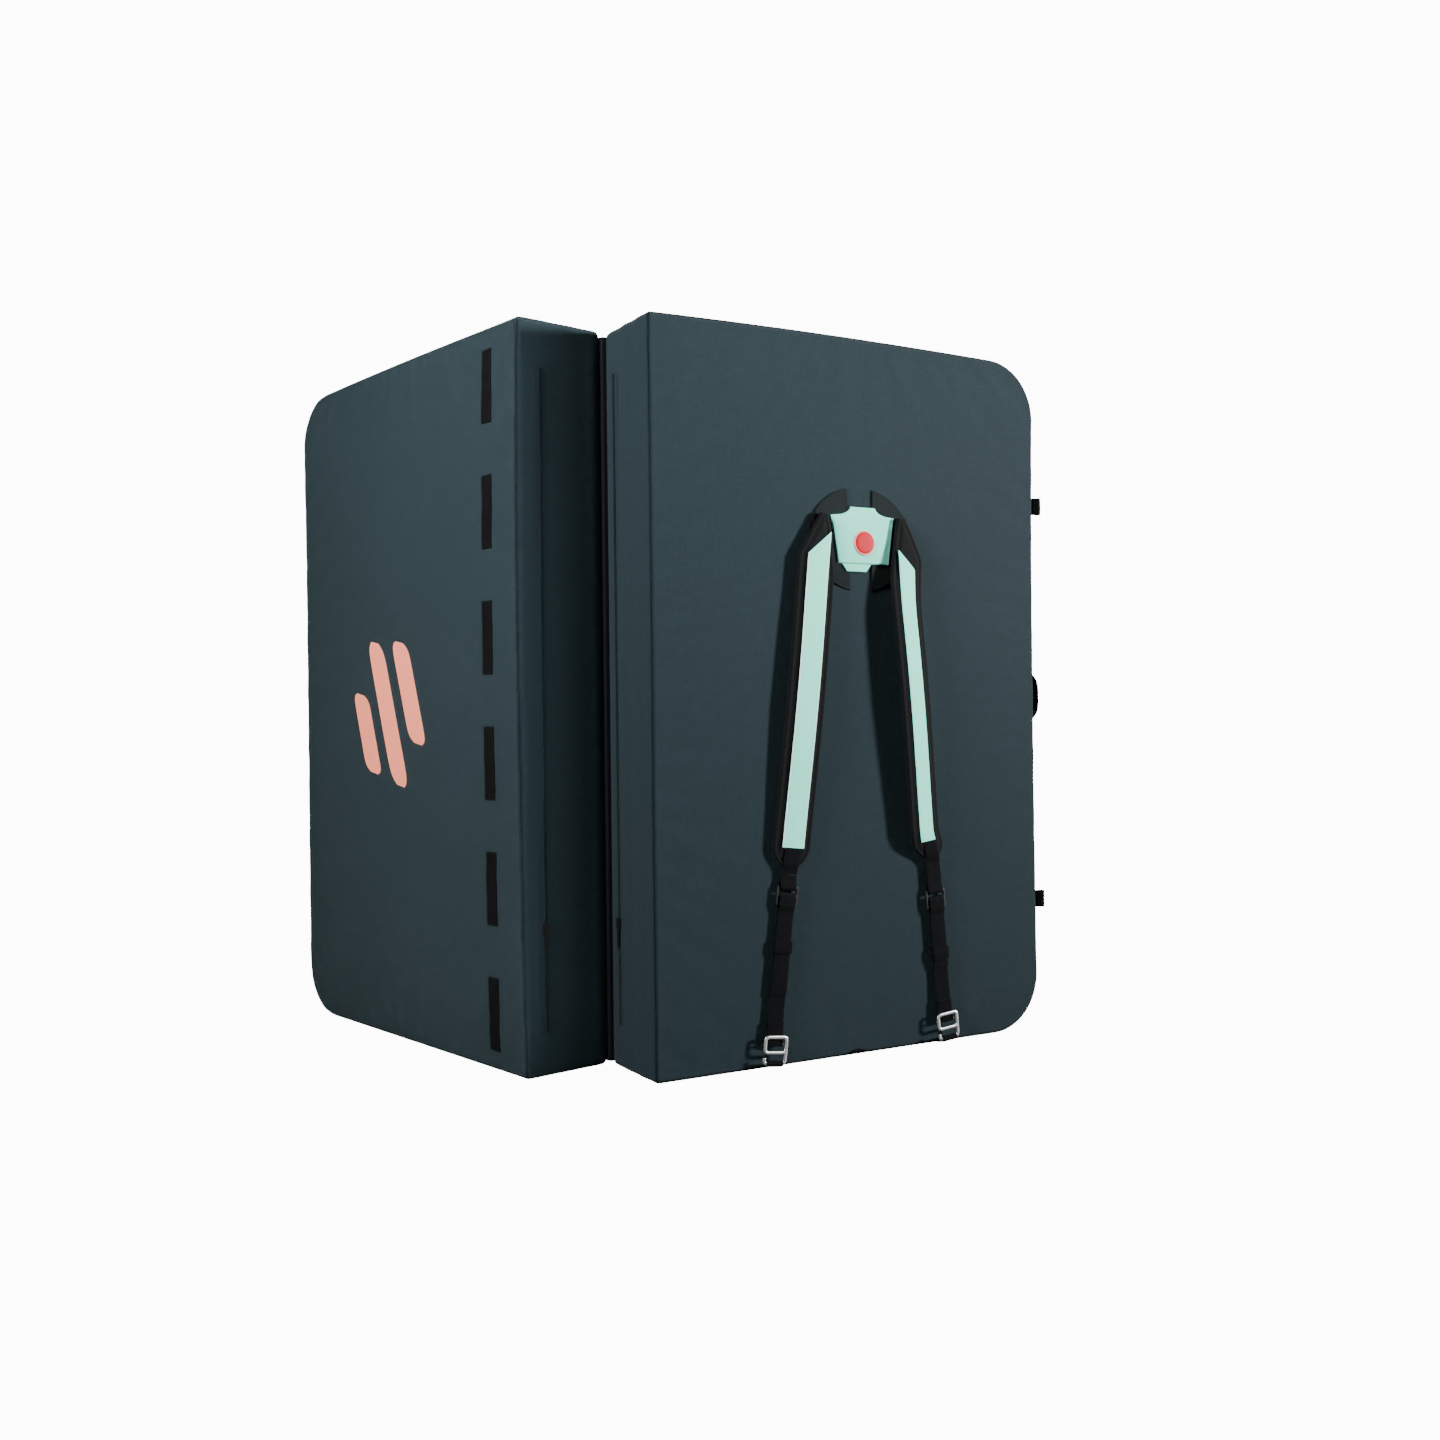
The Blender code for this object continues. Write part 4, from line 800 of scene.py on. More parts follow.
def cover_piece(side, name):
    """Both faces and the walls: rings over one rim, 14 between the faces, rings over the other."""
    outer, outer_mark, rings, marks, near_wall, out = cover_face(side, 1)
    landing, landing_mark, last_rings, last_marks, far_wall, _ = cover_face(side, -1)
    for share in np.linspace(0, 1, 16)[1:-1]:
        depth = between(THICKNESS - RIDGE_RADIUS, LANDING_RADIUS, share)
        base = between(near_wall, far_wall, share)
        rings.append(together(*(base + out * wall_swell(side, *base, depth)), depth))
    walls = np.stack(rings + last_rings[::-1])
    marks = np.array(marks + [0.0] * 14 + last_marks[::-1])
    wall_mark = np.repeat(marks[:, None], walls.shape[1], axis=1)
    grids = []
    for measures, wraps in ((outer, False), (landing, False), (walls, True)):
        u, v, d = np.moveaxis(measures, -1, 0)
        lift = simulated_lift(side, u, v) if measures is outer else 0.0
        points = on_panel(side, *draw_in(u, v, side), d + lift)
        points[..., 2] = np.maximum(points[..., 2], 0.0)
        uv = measures[..., :2]
        if wraps:
            ring = measures[5, :, :2]
            around = np.linalg.norm(np.diff(np.vstack((ring, ring[:1])), axis=0), axis=1)
            uv = together(np.append(0, np.cumsum(around)), np.append(d, d[:, :1], axis=1))
        grids.append((points, uv, False, wraps))
    piece = make_piece(name, grids, smooth_angle=None, caps=False,
                       seams=(outer_mark, landing_mark, wall_mark), cloths=(0, 1, 0))
    finer = piece.modifiers.new("finer", "SUBSURF")
    finer.levels = finer.render_levels = 1
    return piece


for prefix, side in (("harness", 1), ("strip", -1)):
    dress(cover_piece(side, prefix + "_fabric_cover"), prefix + "_panel", "canvas", canvas, landing_canvas,
          padded=1.0, replaces=(prefix + "_cover", prefix + "_landing_sheet"))

# %% [markdown]
# The foam blocks stay inside as the solids made them. Nobody sees them until the cover is taken
# off, so they only need an honest open-cell surface.

# %% Foam
foams = [node for name, node in frame["nodes"].items() if name.endswith("_foam")]
for foam in foams:
    finish_with(foam, foam_cells)
print("foam layers", len(foams))

# %% [markdown]
# Most of the harness is something flat carried along a path: webbing, sleeves, handles. One
# function carries a rounded flat section along a path, and a second one makes black webbing of
# it, with the solid that it stands for.

# %% Ribbon maker
WEBBING, WEBBING_HALF = 0.0016, 0.0125


def ribbon(name, path, across, half_width, thickness, spacing=0.003, closed=False):
    """Sweeps a flat section along a path; across is the direction of its width."""
    path, length = even_path(path, spacing, closed)
    across = np.broadcast_to(np.asarray(across, float), path.shape)
    up = unit(np.cross(across, ahead_along(path, closed)))
    over, rise = FLAT_SECTION[0] * half_width, FLAT_SECTION[1] * thickness / 2
    uv = together(np.append(over, over[0]), np.linspace(0, length, len(path) + closed)[:, None])
    return make_piece(name, [(carried(path, across, up, over, rise), uv, closed, True)])


def webbing(name, body, node, path, across, spacing=0.002, half=WEBBING_HALF,
            thickness=WEBBING, closed=False):
    dress(ribbon(name, path, across, half, thickness, spacing, closed), body, "black_webbing",
          black_webbing, replaces=(node,))


print("webbing", WEBBING, "thick")

# %% [markdown]
# Stitches are what makes sewn things look sewn. Each one is a short capsule of thread lying on
# the cloth: rings of six points whose radius follows half a sine. A whole line is one mesh.

# %% Stitch maker
STITCH_LENGTH, STITCH_PITCH, THREAD_RADIUS = 0.0030, 0.0042, 0.0003
RING_STOPS = np.array((-1.0, -0.8, 0.0, 0.8, 1.0))[:, None]
RING_RADII = np.array((0.25, 0.85, 1.0, 0.85, 0.25))[:, None]
over, rise = superellipse(6, 1, 1)
CAPSULE = together(RING_STOPS, RING_RADII * over, RING_RADII * rise)


def stitches(name, lines):
    """Stitches along (path, outward) lines: the capsule on axes ahead, beside and up."""
    grids = []
    for path, outward in lines:
        spots, _ = even_path(path, STITCH_PITCH)
        ahead = ahead_along(spots)
        beside = unit(np.cross(outward, ahead))
        axes = np.stack((ahead * STITCH_LENGTH / 2, beside * THREAD_RADIUS,
                         np.cross(ahead, beside) * THREAD_RADIUS), 1)
        grids += [(spot + CAPSULE @ turn, None, False, True) for spot, turn in zip(spots, axes)]
    return make_piece(name, grids, smooth_angle=None)


print("stitch points", CAPSULE.shape)

# %% [markdown]
# Patches, the yoke plate, the badge and the hook-and-loop strips all lie on the crowned face.
# Each is a pillow: a top that rises from its rim to its full thickness within a millimetre or
# two, and an under side that follows the face. The outline is given as a grid over u and v.

# %% Sewn-on maker
FACE_SPACING = 0.004


def rim_run(u, v, axis):
    """Distance along a grid line from each point to the nearer end of that line."""
    steps = np.hypot(np.diff(u, axis=axis), np.diff(v, axis=axis))
    run = np.insert(np.cumsum(steps, axis=axis), 0, 0, axis=axis)
    return np.minimum(run, np.take(run, [-1], axis=axis) - run)


def sewn_on(name, side, u, v, lift, thickness, edge, dome=0.0, dark_rim=0.0):
    """Closed pillow over a grid of u and v. Height above the face is lift + thickness * s, where
    s grows from 0 to 1 as a quarter circle over the edge's width from the grid's rim. dark_rim
    is the width of the shadowed edge that a fabric material draws by its seam mark."""
    u, v = np.broadcast_arrays(u, v)
    inside = np.minimum(rim_run(u, v, 0), rim_run(u, v, 1))
    rise = thickness * np.sqrt(1 - (1 - np.clip(inside / edge, 0, 1)) ** 2)
    middle = np.clip(inside / max(inside.max(), edge), 0, 1)
    top = outer_spot(side, u, v, lift + rise + dome * middle * (2 - middle))
    under = outer_spot(side, u, v, lift)[:, ::-1]
    uv = together(u, v)
    shadow = np.clip(1.4 - inside / dark_rim, 0, 1) if dark_rim else np.zeros_like(inside)
    return make_piece(name, [(top, uv, False, False), (under, uv[:, ::-1], False, False)], smooth_angle=50,
                      seams=[shadow, shadow[:, ::-1]])


def eased(count, ends=4.0):
    """Shares from 0 to 1 that crowd towards both ends, so that rims are fine."""
    line = np.linspace(-1, 1, count)
    return (np.tanh(line * ends) / math.tanh(ends) * 0.5 + 0.5) * 0.6 + np.linspace(0, 1, count) * 0.4


def on_face(side, path, lift):
    """Lays a path of (u, v) on the outer face, with the way out, for stitches."""
    return outer_spot(side, *even_path(path, FACE_SPACING)[0].T, lift), OUT[side]


print("eased", np.round(eased(5), 3))

# %% [markdown]
# Six strips of loop tape run up the strip panel beside its spine. The pile is matt and very dark,
# so it is a mat of cells on a thin plate with a line of stitches round it.

# %% Loop tape
STRIP_COUNT = 6
STRIP_WIDTH, STRIP_LENGTH, STRIP_THICKNESS = 0.025, 0.100, 0.0017
STRIP_FROM_FOLD, STRIP_FIRST, STRIP_PITCH = 0.0755, 0.0765, 0.1695
STRIP_EDGE, STITCH_INSET = 0.0012, 0.0022

lines = []
for index in range(STRIP_COUNT):
    u, v = np.meshgrid(STRIP_FROM_FOLD + (eased(13) - 0.5) * STRIP_WIDTH,
                       STRIP_FIRST + index * STRIP_PITCH + (eased(41) - 0.5) * STRIP_LENGTH)
    dress(sewn_on("loop_tape_%d" % (index + 1), -1, u, v, 0.0, STRIP_THICKNESS, STRIP_EDGE),
          "strip_panel", "black_webbing", loop_mat, replaces=("hook_loop_strip_%d" % (index + 1),))
    (left, right), (foot, top) = ((x.min() + STITCH_INSET, x.max() - STITCH_INSET) for x in (u, v))
    corners = [(left, foot), (right, foot), (right, top), (left, top), (left, foot)]
    lines += [on_face(-1, pair, STRIP_THICKNESS) for pair in zip(corners[:-1], corners[1:])]
dress(stitches("loop_tape_stitches", lines), "strip_panel", "black_webbing", black_thread)

# %% [markdown]
# The outer face of the strip panel carries a plain motif of three slanted bars in coral ink.
# Screen ink is a skin a tenth of a millimetre thick that takes the weave under it, so the bars
# are thin pillows with the canvas's own bump.

# %% Coral print
PRINT_U, PRINT_V = 0.360, 0.485
PRINT_BARS = ((-0.064, 0.150), (0.000, 0.215), (0.064, 0.120))
BAR_HALF, BAR_SLANT, BAR_STEP = 0.025, 0.35, 0.03
INK_LIFT, INK, INK_EDGE = 0.00005, 0.00015, 0.0006

for index, (shift, length) in enumerate(PRINT_BARS):
    run, over = np.meshgrid(np.linspace(-0.5, 0.5, 40) * length, np.linspace(-1, 1, 9) * BAR_HALF,
                            indexing="ij")
    over = over * (1 - 0.55 * np.abs(2 * run / length) ** 12)
    u = PRINT_U + shift + over + run * BAR_SLANT
    v = PRINT_V + run - BAR_STEP * (index - 1) + over * BAR_SLANT * 0.5
    dress(sewn_on("coral_bar_%d" % (index + 1), -1, u, v, INK_LIFT, INK, INK_EDGE),
          "strip_panel", "canvas", coral_print)

# %% [markdown]
# The yoke joins both shoulder straps. Two dark reinforcing patches spread the load over the
# canvas: together they make an oval with a slot down its middle, wider at the top.

# %% Yoke patches
YOKE_U, YOKE_V = 0.3245, 0.720
PATCH_HALF_WIDTH, PATCH_HALF_HEIGHT = 0.087, 0.0725
PATCH_SLOTS = (0.0170, 0.0215)
SEWN = 0.0004
PATCH_RISE = 0.0015 + SEWN
PATCH_LIFT, PATCH_EDGE, PATCH_SHADOW = 0.0001, 0.0010, 0.0018
PATCH_STITCH_INSET = 0.003
SIGNS = {"left": -1, "right": 1}

lines = []
low, high = np.arccos(np.array(PATCH_SLOTS) / PATCH_HALF_WIDTH) * (-1, 1)
turn = between(low, high, eased(61))
slot = np.interp(turn, (low, high), PATCH_SLOTS)
reach = PATCH_HALF_WIDTH * np.cos(turn)
v = YOKE_V + PATCH_HALF_HEIGHT * np.sin(turn)
for label, sign in SIGNS.items():
    u = YOKE_U + sign * between(slot[:, None], reach[:, None], eased(25))
    patch = sewn_on("reinforcing_patch_" + label, 1, u, v[:, None], PATCH_LIFT, PATCH_RISE, PATCH_EDGE,
                    dark_rim=PATCH_SHADOW)
    dress(patch, "harness_panel", "patch_fabric", patch_cloth, replaces=("patch_" + label,))
    rim = together(YOKE_U + sign * (reach - PATCH_STITCH_INSET), v)[3:-3]
    lines.append(on_face(1, rim, PATCH_LIFT + PATCH_RISE))
dress(stitches("patch_stitches", lines), "harness_panel", "patch_fabric", black_thread)

# %% [markdown]
# The mint plate is the harness's yoke. Its outline is best given as a half width for each height:
# it narrows to its foot, flares into two wing tips and is bitten by a quarter circle on each side
# of its top. Below it a small tab of the same cloth shows, with a dark seam between them.

# %% Yoke plate
PLATE_U = YOKE_U + 0.0045
PLATE_HEIGHTS, PLATE_HALVES = (-0.0340, 0.0130, 0.0320), (0.0435, 0.0500, 0.0535)
PLATE_TOP, PLATE_TOP_HALF = 0.0450, 0.0210
PLATE_LIFT, PLATE_THICKNESS, PLATE_EDGE, PLATE_DOME = 0.0022, 0.0021, 0.0016, 0.0012
PLATE_STITCH_INSET = 0.0032
TAB_HALVES, TAB_DEPTH, TAB_SHIFT = (0.0255, 0.0165), 0.0110, -0.0120
TAB_LIFT, TAB_THICKNESS, TAB_EDGE = 0.0019, 0.0018, 0.0010
FOOT, _, WING = PLATE_HEIGHTS


def plate_half_width(height):
    """Half width at a height over the plate's middle: straight sides, then a concave quarter."""
    share = np.clip((PLATE_TOP - height) / (PLATE_TOP - WING), 0, 1)
    bite = between(PLATE_TOP_HALF, PLATE_HALVES[-1], 1 - np.sqrt(1 - share ** 2))
    return np.where(height > WING, bite, np.interp(height, PLATE_HEIGHTS, PLATE_HALVES))


lower = between(FOOT, WING, eased(31))
heights = np.append(lower, between(WING, PLATE_TOP, np.sin(np.linspace(0, math.pi / 2, 12))[1:]))
u = PLATE_U + plate_half_width(heights)[:, None] * (eased(41) * 2 - 1)
plate = sewn_on("mint_yoke_plate", 1, u, (YOKE_V + heights)[:, None], PLATE_LIFT, PLATE_THICKNESS,
                PLATE_EDGE, dome=PLATE_DOME)
dress(plate, "harness_panel", "mint_webbing", mint_cloth, replaces=("yoke_plate",))

share = eased(9)
u = PLATE_U + TAB_SHIFT + between(*TAB_HALVES, share)[:, None] * (eased(21) * 2 - 1)
tab = sewn_on("mint_yoke_tab", 1, u, (YOKE_V + FOOT - SEWN - TAB_DEPTH * share)[:, None], TAB_LIFT,
              TAB_THICKNESS, TAB_EDGE)
dress(tab, "harness_panel", "mint_webbing", mint_cloth, replaces=("yoke_tab",))

sides = together(plate_half_width(lower) - PLATE_STITCH_INSET, lower)[2:-3]
around = np.vstack((sides, sides[::-1] * (-1, 1), sides[:1])) + (PLATE_U, YOKE_V)
count = len(sides)
lines = [on_face(1, around[begin:end], PLATE_LIFT + PLATE_THICKNESS + THREAD_RADIUS)
         for begin, end in ((0, count), (count, 2 * count), (2 * count - 1, None))]
dress(stitches("yoke_plate_stitches", lines), "harness_panel", "mint_webbing", mint_thread)

# %% [markdown]
# The badge is a small moulded disc, plain red with a pale ring. It is a turned profile: rings
# of points whose height follows the distance from the middle, with a shallow trough between the
# disc and the ring.

# %% Badge
BADGE_RADIUS, BADGE_DROP, BADGE_LIFT = 0.0175, 0.0050, 0.0046
BADGE_RADII = np.array((0.00, 0.30, 0.60, 0.80, 0.84, 0.87, 0.90, 0.95, 0.99, 1.00, 1.00))[:, None]
BADGE_RISES = np.array((19, 20, 19, 17, 12, 13, 19, 20, 15, 6, 0))[:, None] / 10000


def badge_material():
    """Red inside the trough and pale on the ring, by the distance kept in the UV map."""
    made, tree = start_material("badge_rubber", 0.60, {"Specular IOR Level": 0.15})
    spot = add(tree, "TexCoord")
    ring = remap(tree, add(tree, "SeparateXYZ", {0: spot["UV"]})[0], old=(0.865, 0.885))
    grain = noise(tree, spot["Object"], 700.0, 3.0)
    red = mix(tree, grain, (0.44, 0.001, 0.008, 1.0), (0.50, 0.002, 0.012, 1.0))
    finish_material(tree, mix(tree, ring, red, (0.80, 0.30, 0.28, 1.0)), grain, 0.00006)
    return made


over, rise = superellipse(72, 1, 1) * BADGE_RADIUS
disc = outer_spot(1, PLATE_U + BADGE_RADII * over, YOKE_V - BADGE_DROP + BADGE_RADII * rise,
                  BADGE_LIFT + BADGE_RISES)
uv = together(BADGE_RADII, np.linspace(0, 1, 73))
dress(make_piece("round_badge", [(disc, uv, False, True)], smooth_angle=50), "harness_panel", "badge_rubber",
      badge_material(), replaces=("badge",))

# %% [markdown]
# Each shoulder strap has its own frame: its origin on the strap's joint, x across the strap, y
# away from the panel and z up towards the yoke. The joint gives the origin and x. The hook's
# place near the foot gives z, so the strap leans as the solid does.

# %% Strap frames
STRAP_SPLAYS = {"left": 0.112, "right": 0.096}
STRAP_SPREAD = 0.0705
STRAP_ROOT_HEIGHT = 0.753
HOOK_HEIGHT, HOOK_STANDOFF = 0.0338, 0.0092


def strap_frame(joint_name, foot):
    """Origin, rows of axes across, away and up, and the length from root to foot."""
    root, across = (np.array(joints[joint_name][key], float) for key in ("pos_m", "axis"))
    length = np.linalg.norm(root - foot)
    up = (root - foot) / length
    across = unit(across - up * across.dot(up))
    return root, np.stack((across, np.cross(up, across), up)), length


def in_strap(strap, points):
    """Places points given in a strap's frame."""
    return strap[0] + np.asarray(points, float) @ strap[1]


straps = {}
for label, sign in SIGNS.items():
    drop = STRAP_ROOT_HEIGHT - HOOK_HEIGHT
    foot = (joints[label + "_strap_swing"]["pos_m"][0] + sign * STRAP_SPLAYS[label] * drop,
            FOLD_SPOT[1] - LANDING_SETBACK - THICKNESS - HOOK_STANDOFF, HOOK_HEIGHT)
    straps[label] = strap_frame(label + "_strap_swing", foot)
    print(label, "strap length", round(straps[label][2], 4))

# %% [markdown]
# The strap is a foam pad in dark cloth, bound with tape round its edge and faced with mint
# webbing. The pad is a closed form: at each drop from the yoke it has an outer and an inner
# reach, and its thickness grows from the rolled binding to the full foam.

# %% Strap pads
PAD_LENGTH = STRAP_ROOT_HEIGHT - HOOK_HEIGHT - 0.2232
PAD_HALF = 0.030
PAD_THICKNESS, PAD_FOOT_THICKNESS = 0.0100, 0.0062
PAD_BOW = 0.005
PAD_END = PAD_LENGTH - 0.012
PAD_TAPER = 0.026
OUTER_DIAGONAL = 0.062
INNER_DROPS, INNER_REACHES = (0, 0.020, 0.085), (0.0120, 0.0180, PAD_HALF)
FOOT_SHRINK = 0.0161
BINDING_WIDTH, BINDING_RADIUS = 0.0066, 0.0031
BINDING_GROOVE, BINDING_GROOVE_WIDTH = 0.0006, 0.0009
FOAM_RISE = 0.006
RIM_ROOM = 0.0008
WAVE, WAVE_LENGTH = 0.0004, 0.019
WELL_INSIDE = 0.02
TWISTS = {"left": 0.0, "right": math.radians(14)}
SWAYS = {"left": 0.0, "right": 0.0130}
HOLD_GROWTH, HOLD_FADE, FOOT_ROOM = 0.14, 0.060, 0.004
LIFTS = {"left": 0.0, "right": 0.0050}


def pad_bow(drop):
    return PAD_BOW * np.sin(math.pi * np.clip(drop / PAD_LENGTH, 0, 1)) ** 2


def on_strap(label, points):
    """World points for places on a pad. The pad is turned about its own length, shifted and
    lifted by amounts that grow below the yoke and fade again at the pad's foot."""
    x, y, drop = points[..., 0], points[..., 1], -points[..., 2]
    hold = smooth_step(drop / HOLD_GROWTH) * smooth_step((PAD_LENGTH + FOOT_ROOM - drop) / HOLD_FADE)
    angle, over = TWISTS[label] * hold, y - pad_bow(drop)
    turned_x = x * np.cos(angle) - over * np.sin(angle) + SWAYS[label] * hold
    turned_y = pad_bow(drop) + x * np.sin(angle) + over * np.cos(angle) + LIFTS[label] * hold
    return in_strap(straps[label], together(turned_x, turned_y, -drop))


def pad_narrowing(drop):
    return np.clip((drop - PAD_END + PAD_TAPER) / PAD_TAPER, 0, 1)


def pad_reaches(drop):
    """Reach of the outer and the inner edge: a diagonal top, an even middle, a tapered foot."""
    shrink = FOOT_SHRINK * pad_narrowing(drop) ** 2
    return (np.interp(drop, (0, OUTER_DIAGONAL), (0.0, PAD_HALF)) - shrink,
            np.interp(drop, INNER_DROPS, INNER_REACHES) - shrink)


def pad_half_thickness(drop, edge):
    """Half thickness at a distance from the edge: the binding's round roll, its stitched step,
    then a smooth rise to the foam's full height."""
    full = between(PAD_THICKNESS, PAD_FOOT_THICKNESS, pad_narrowing(drop)) / 2
    roll = BINDING_RADIUS * np.sqrt(1 - (1 - np.clip(edge / BINDING_RADIUS, 0, 1)) ** 2)
    groove = BINDING_GROOVE * bell(edge - BINDING_WIDTH, BINDING_GROOVE_WIDTH)
    return roll + (full - BINDING_RADIUS) * smooth_step((edge - BINDING_WIDTH) / FOAM_RISE) - groove


def pad_top(drop):
    """Height of the pad's front over the strap's middle line, for what is sewn on it."""
    return pad_bow(drop) + pad_half_thickness(drop, WELL_INSIDE)


for label, sign in SIGNS.items():
    taper = PAD_END - PAD_TAPER
    drop = np.concatenate((
        (0, 0.0006, 0.0016, 0.003), np.linspace(0.005, taper, 110)[:-1],
        np.linspace(taper, PAD_END - 0.003, 14), PAD_END - np.array((0.0016, 0.0006, 0))))[:, None]
    outer, inner = pad_reaches(drop)
    low, high = (-outer, inner) if sign > 0 else (-inner, outer)
    x = between(low, high, eased(34, 2.2))
    edge = np.minimum(x - low, high - x)
    half = pad_half_thickness(drop, np.minimum(edge, np.minimum(drop, PAD_END - drop) + RIM_ROOM))
    wave = WAVE * np.sin(drop / WAVE_LENGTH + sign) * np.clip(edge / WELL_INSIDE, 0, 1)
    top = together(x, pad_bow(drop) + half + wave, -drop)
    back = together(x, pad_bow(drop) - half, -drop)
    grid = np.concatenate((top, back[:, -2:0:-1]), axis=1)
    uv = np.concatenate((grid, grid[:, :1]), axis=1)[..., ::2]
    dress(make_piece(label + "_shoulder_pad", [(on_strap(label, grid), uv, False, True)], smooth_angle=50),
          label + "_strap", "black_webbing", binding_cloth, padded=0.8, replaces=(label + "_strap_pad",))

# %% [markdown]
# The mint facing is wide webbing with pale selvedges, cut on the slant at its top and sewn down
# along both edges. It follows the pad's bow. Its slanted end comes from an edge that reaches
# out only as the run goes down.

# %% Strap facings
FACING_HALVES = {"left": 0.0170, "right": 0.0145}
FACING_SHIFTS = {"left": 0.0, "right": 0.0030}
FACING_TOPS = {"left": 0.025, "right": 0.045}
FACING_END = PAD_LENGTH - 0.035 - 0.0020
FACING_THICKNESS, FACING_SKIN, FACING_TIP = 0.0014, 0.0002, 0.0006
FACING_STITCH_INSET = 0.0025
TAPE_DIVE, DIVE_LENGTH = 0.0030, 0.014


def facing_grid(label, drop, thickness, half, shift=0.0, slanted=False):
    """Rings round a band on the pad. A slanted one's outer edge starts at the inner one and
    moves out at 45 degrees to the full width. A plain one is tape, whose end leaves the pad's
    height for that of the webbing below it."""
    inner = np.full_like(drop, half)
    run = np.clip((drop - drop[0]) / 2 / half, 0, 1)
    outer = between(-half, half, run) + FACING_TIP if slanted else inner
    low, high = (-outer, inner) if label == "right" else (-inner, outer)
    x = between(low, high, (FLAT_SECTION[0] + 1) / 2)
    sink = 0.0 if slanted else TAPE_DIVE * smooth_step((drop - PAD_END + FOOT_ROOM) / DIVE_LENGTH)
    y = pad_top(drop) + FACING_SKIN - sink + (FLAT_SECTION[1] + 1) * thickness / 2
    uv = together(np.append(x, x[:, :1], axis=1), drop)
    return on_strap(label, together(x + shift, y, -drop)), uv, False, True


for label, sign in SIGNS.items():
    half, shift, top = FACING_HALVES[label], FACING_SHIFTS[label], FACING_TOPS[label]
    drop = np.linspace(top, FACING_END, 190)[:, None]
    grid = facing_grid(label, drop, FACING_THICKNESS, half, shift, slanted=True)
    dress(make_piece(label + "_mint_facing", [grid]), label + "_strap", "mint_webbing", mint_webbing,
          replaces=(label + "_strap_facing",))
    lines = []
    for edge in (-1, 1):
        run = np.linspace(top + (2 * half if edge == -sign else 0.008), FACING_END - 0.002, 60)
        x = shift + edge * (half - FACING_STITCH_INSET)
        line = together(x, pad_top(run) + FACING_SKIN + FACING_THICKNESS, -run)
        lines.append((on_strap(label, line), straps[label][1][1]))
    dress(stitches(label + "_facing_stitches", lines), label + "_strap", "mint_webbing", mint_thread)
    drop = np.linspace(FACING_END + 0.0004, PAD_LENGTH - 0.0006, 24)[:, None]
    dress(make_piece(label + "_foot_tape", [facing_grid(label, drop, WEBBING, WEBBING_HALF)]),
          label + "_strap", "black_webbing", black_webbing)

# %% [markdown]
# Below the pad, webbing passes round the ladder lock and down to the hook. The paths repeat the
# solids' own: straight layers, half turns round each bar, and the free tail. They are written in
# the strap's y and z and then given width across.

# %% Strap webbing
GAP = 0.0003
LAYER_GAP = 0.0005
LAYER = (WEBBING + LAYER_GAP) / 2
LOCK_BAR, LOCK_SLOT, LOCK_THICKNESS = 0.0036, 0.0076, 0.0034
BAR_CLEARANCE = 0.0004
REAR_BAR_RADIUS = 0.0013
FOLD_BACK = 0.030
RUN_SHARES = {"left": (0.9250, 0.5708, 0.2925), "right": (0.8315, 0.4294, 0.3455)}
LOCK_WRAP = math.hypot(LOCK_THICKNESS, LOCK_BAR) / 2 + BAR_CLEARANCE / 2 + WEBBING / 2
HOOK_WRAP = REAR_BAR_RADIUS + BAR_CLEARANCE + WEBBING / 2
KEEPER_THICKNESS, KEEPER_BAND_HALF = 0.0012, 0.0085
KEEPER_HALF = (0.0147, WEBBING + LAYER_GAP / 2 + BAR_CLEARANCE + KEEPER_THICKNESS / 2)


def half_turn(centre_z, radius, start, end):
    """Points (y, z) round a bar at y = 0, from one angle to another in degrees."""
    turn = np.radians(np.linspace(start, end, 17))
    return together(radius * np.cos(turn), centre_z + radius * np.sin(turn))


def strap_webbing(name, body, node, strap, path, thickness=WEBBING, closed=False):
    """Webbing along a (y, z) path of the strap's frame."""
    middle = in_strap(strap, np.insert(np.vstack(path), 0, 0, axis=1))
    webbing(name, body, node, middle, strap[1][0], spacing=0.0022, thickness=thickness, closed=closed)


for label, strap in straps.items():
    body, hook_z = label + "_strap", -strap[2]
    lock_top, keeper_z, tail = (hook_z + share * (strap[2] - PAD_LENGTH) for share in RUN_SHARES[label])
    foot, settle = -PAD_LENGTH - GAP, lock_top + LOCK_WRAP * 3
    strap_webbing(label + "_upper_tape", body, label + "_upper_webbing", strap, (
        [(LAYER, foot), (LAYER, settle)], half_turn(lock_top, LOCK_WRAP, 0, -180),
        [(-LAYER, settle), (-LAYER, foot)]))
    middle_bar = lock_top - LOCK_BAR - LOCK_SLOT
    lock_foot = middle_bar - LOCK_SLOT - 2 * LOCK_BAR
    settled, hook_settled = lock_foot - 2 * LOCK_WRAP, hook_z + 4 * HOOK_WRAP
    strap_webbing(label + "_lower_tape", body, label + "_lower_webbing", strap, (
        [(LAYER, tail), (LAYER, settled), (LOCK_WRAP, lock_foot)], half_turn(middle_bar, LOCK_WRAP, 0, 180),
        [(-LOCK_WRAP, lock_foot), (-LAYER, settled), (-LAYER, hook_settled)],
        half_turn(hook_z, HOOK_WRAP, 180, 360), [(LAYER, hook_settled), (LAYER, hook_z + FOLD_BACK)]))
    over, rise = superellipse(64, 0.25, 0.6) * np.array(KEEPER_HALF)[:, None]
    ring = in_strap(strap, together(over, rise, keeper_z))
    webbing(label + "_elastic_keeper", body, label + "_keeper", ring,
            strap[1][2], spacing=0.0015, half=KEEPER_BAND_HALF, thickness=KEEPER_THICKNESS, closed=True)
    finish_with(frame["nodes"][label + "_ladder_lock"], black_nylon)
    finish_with(frame["nodes"][label + "_strap_anchor"], binding_cloth)

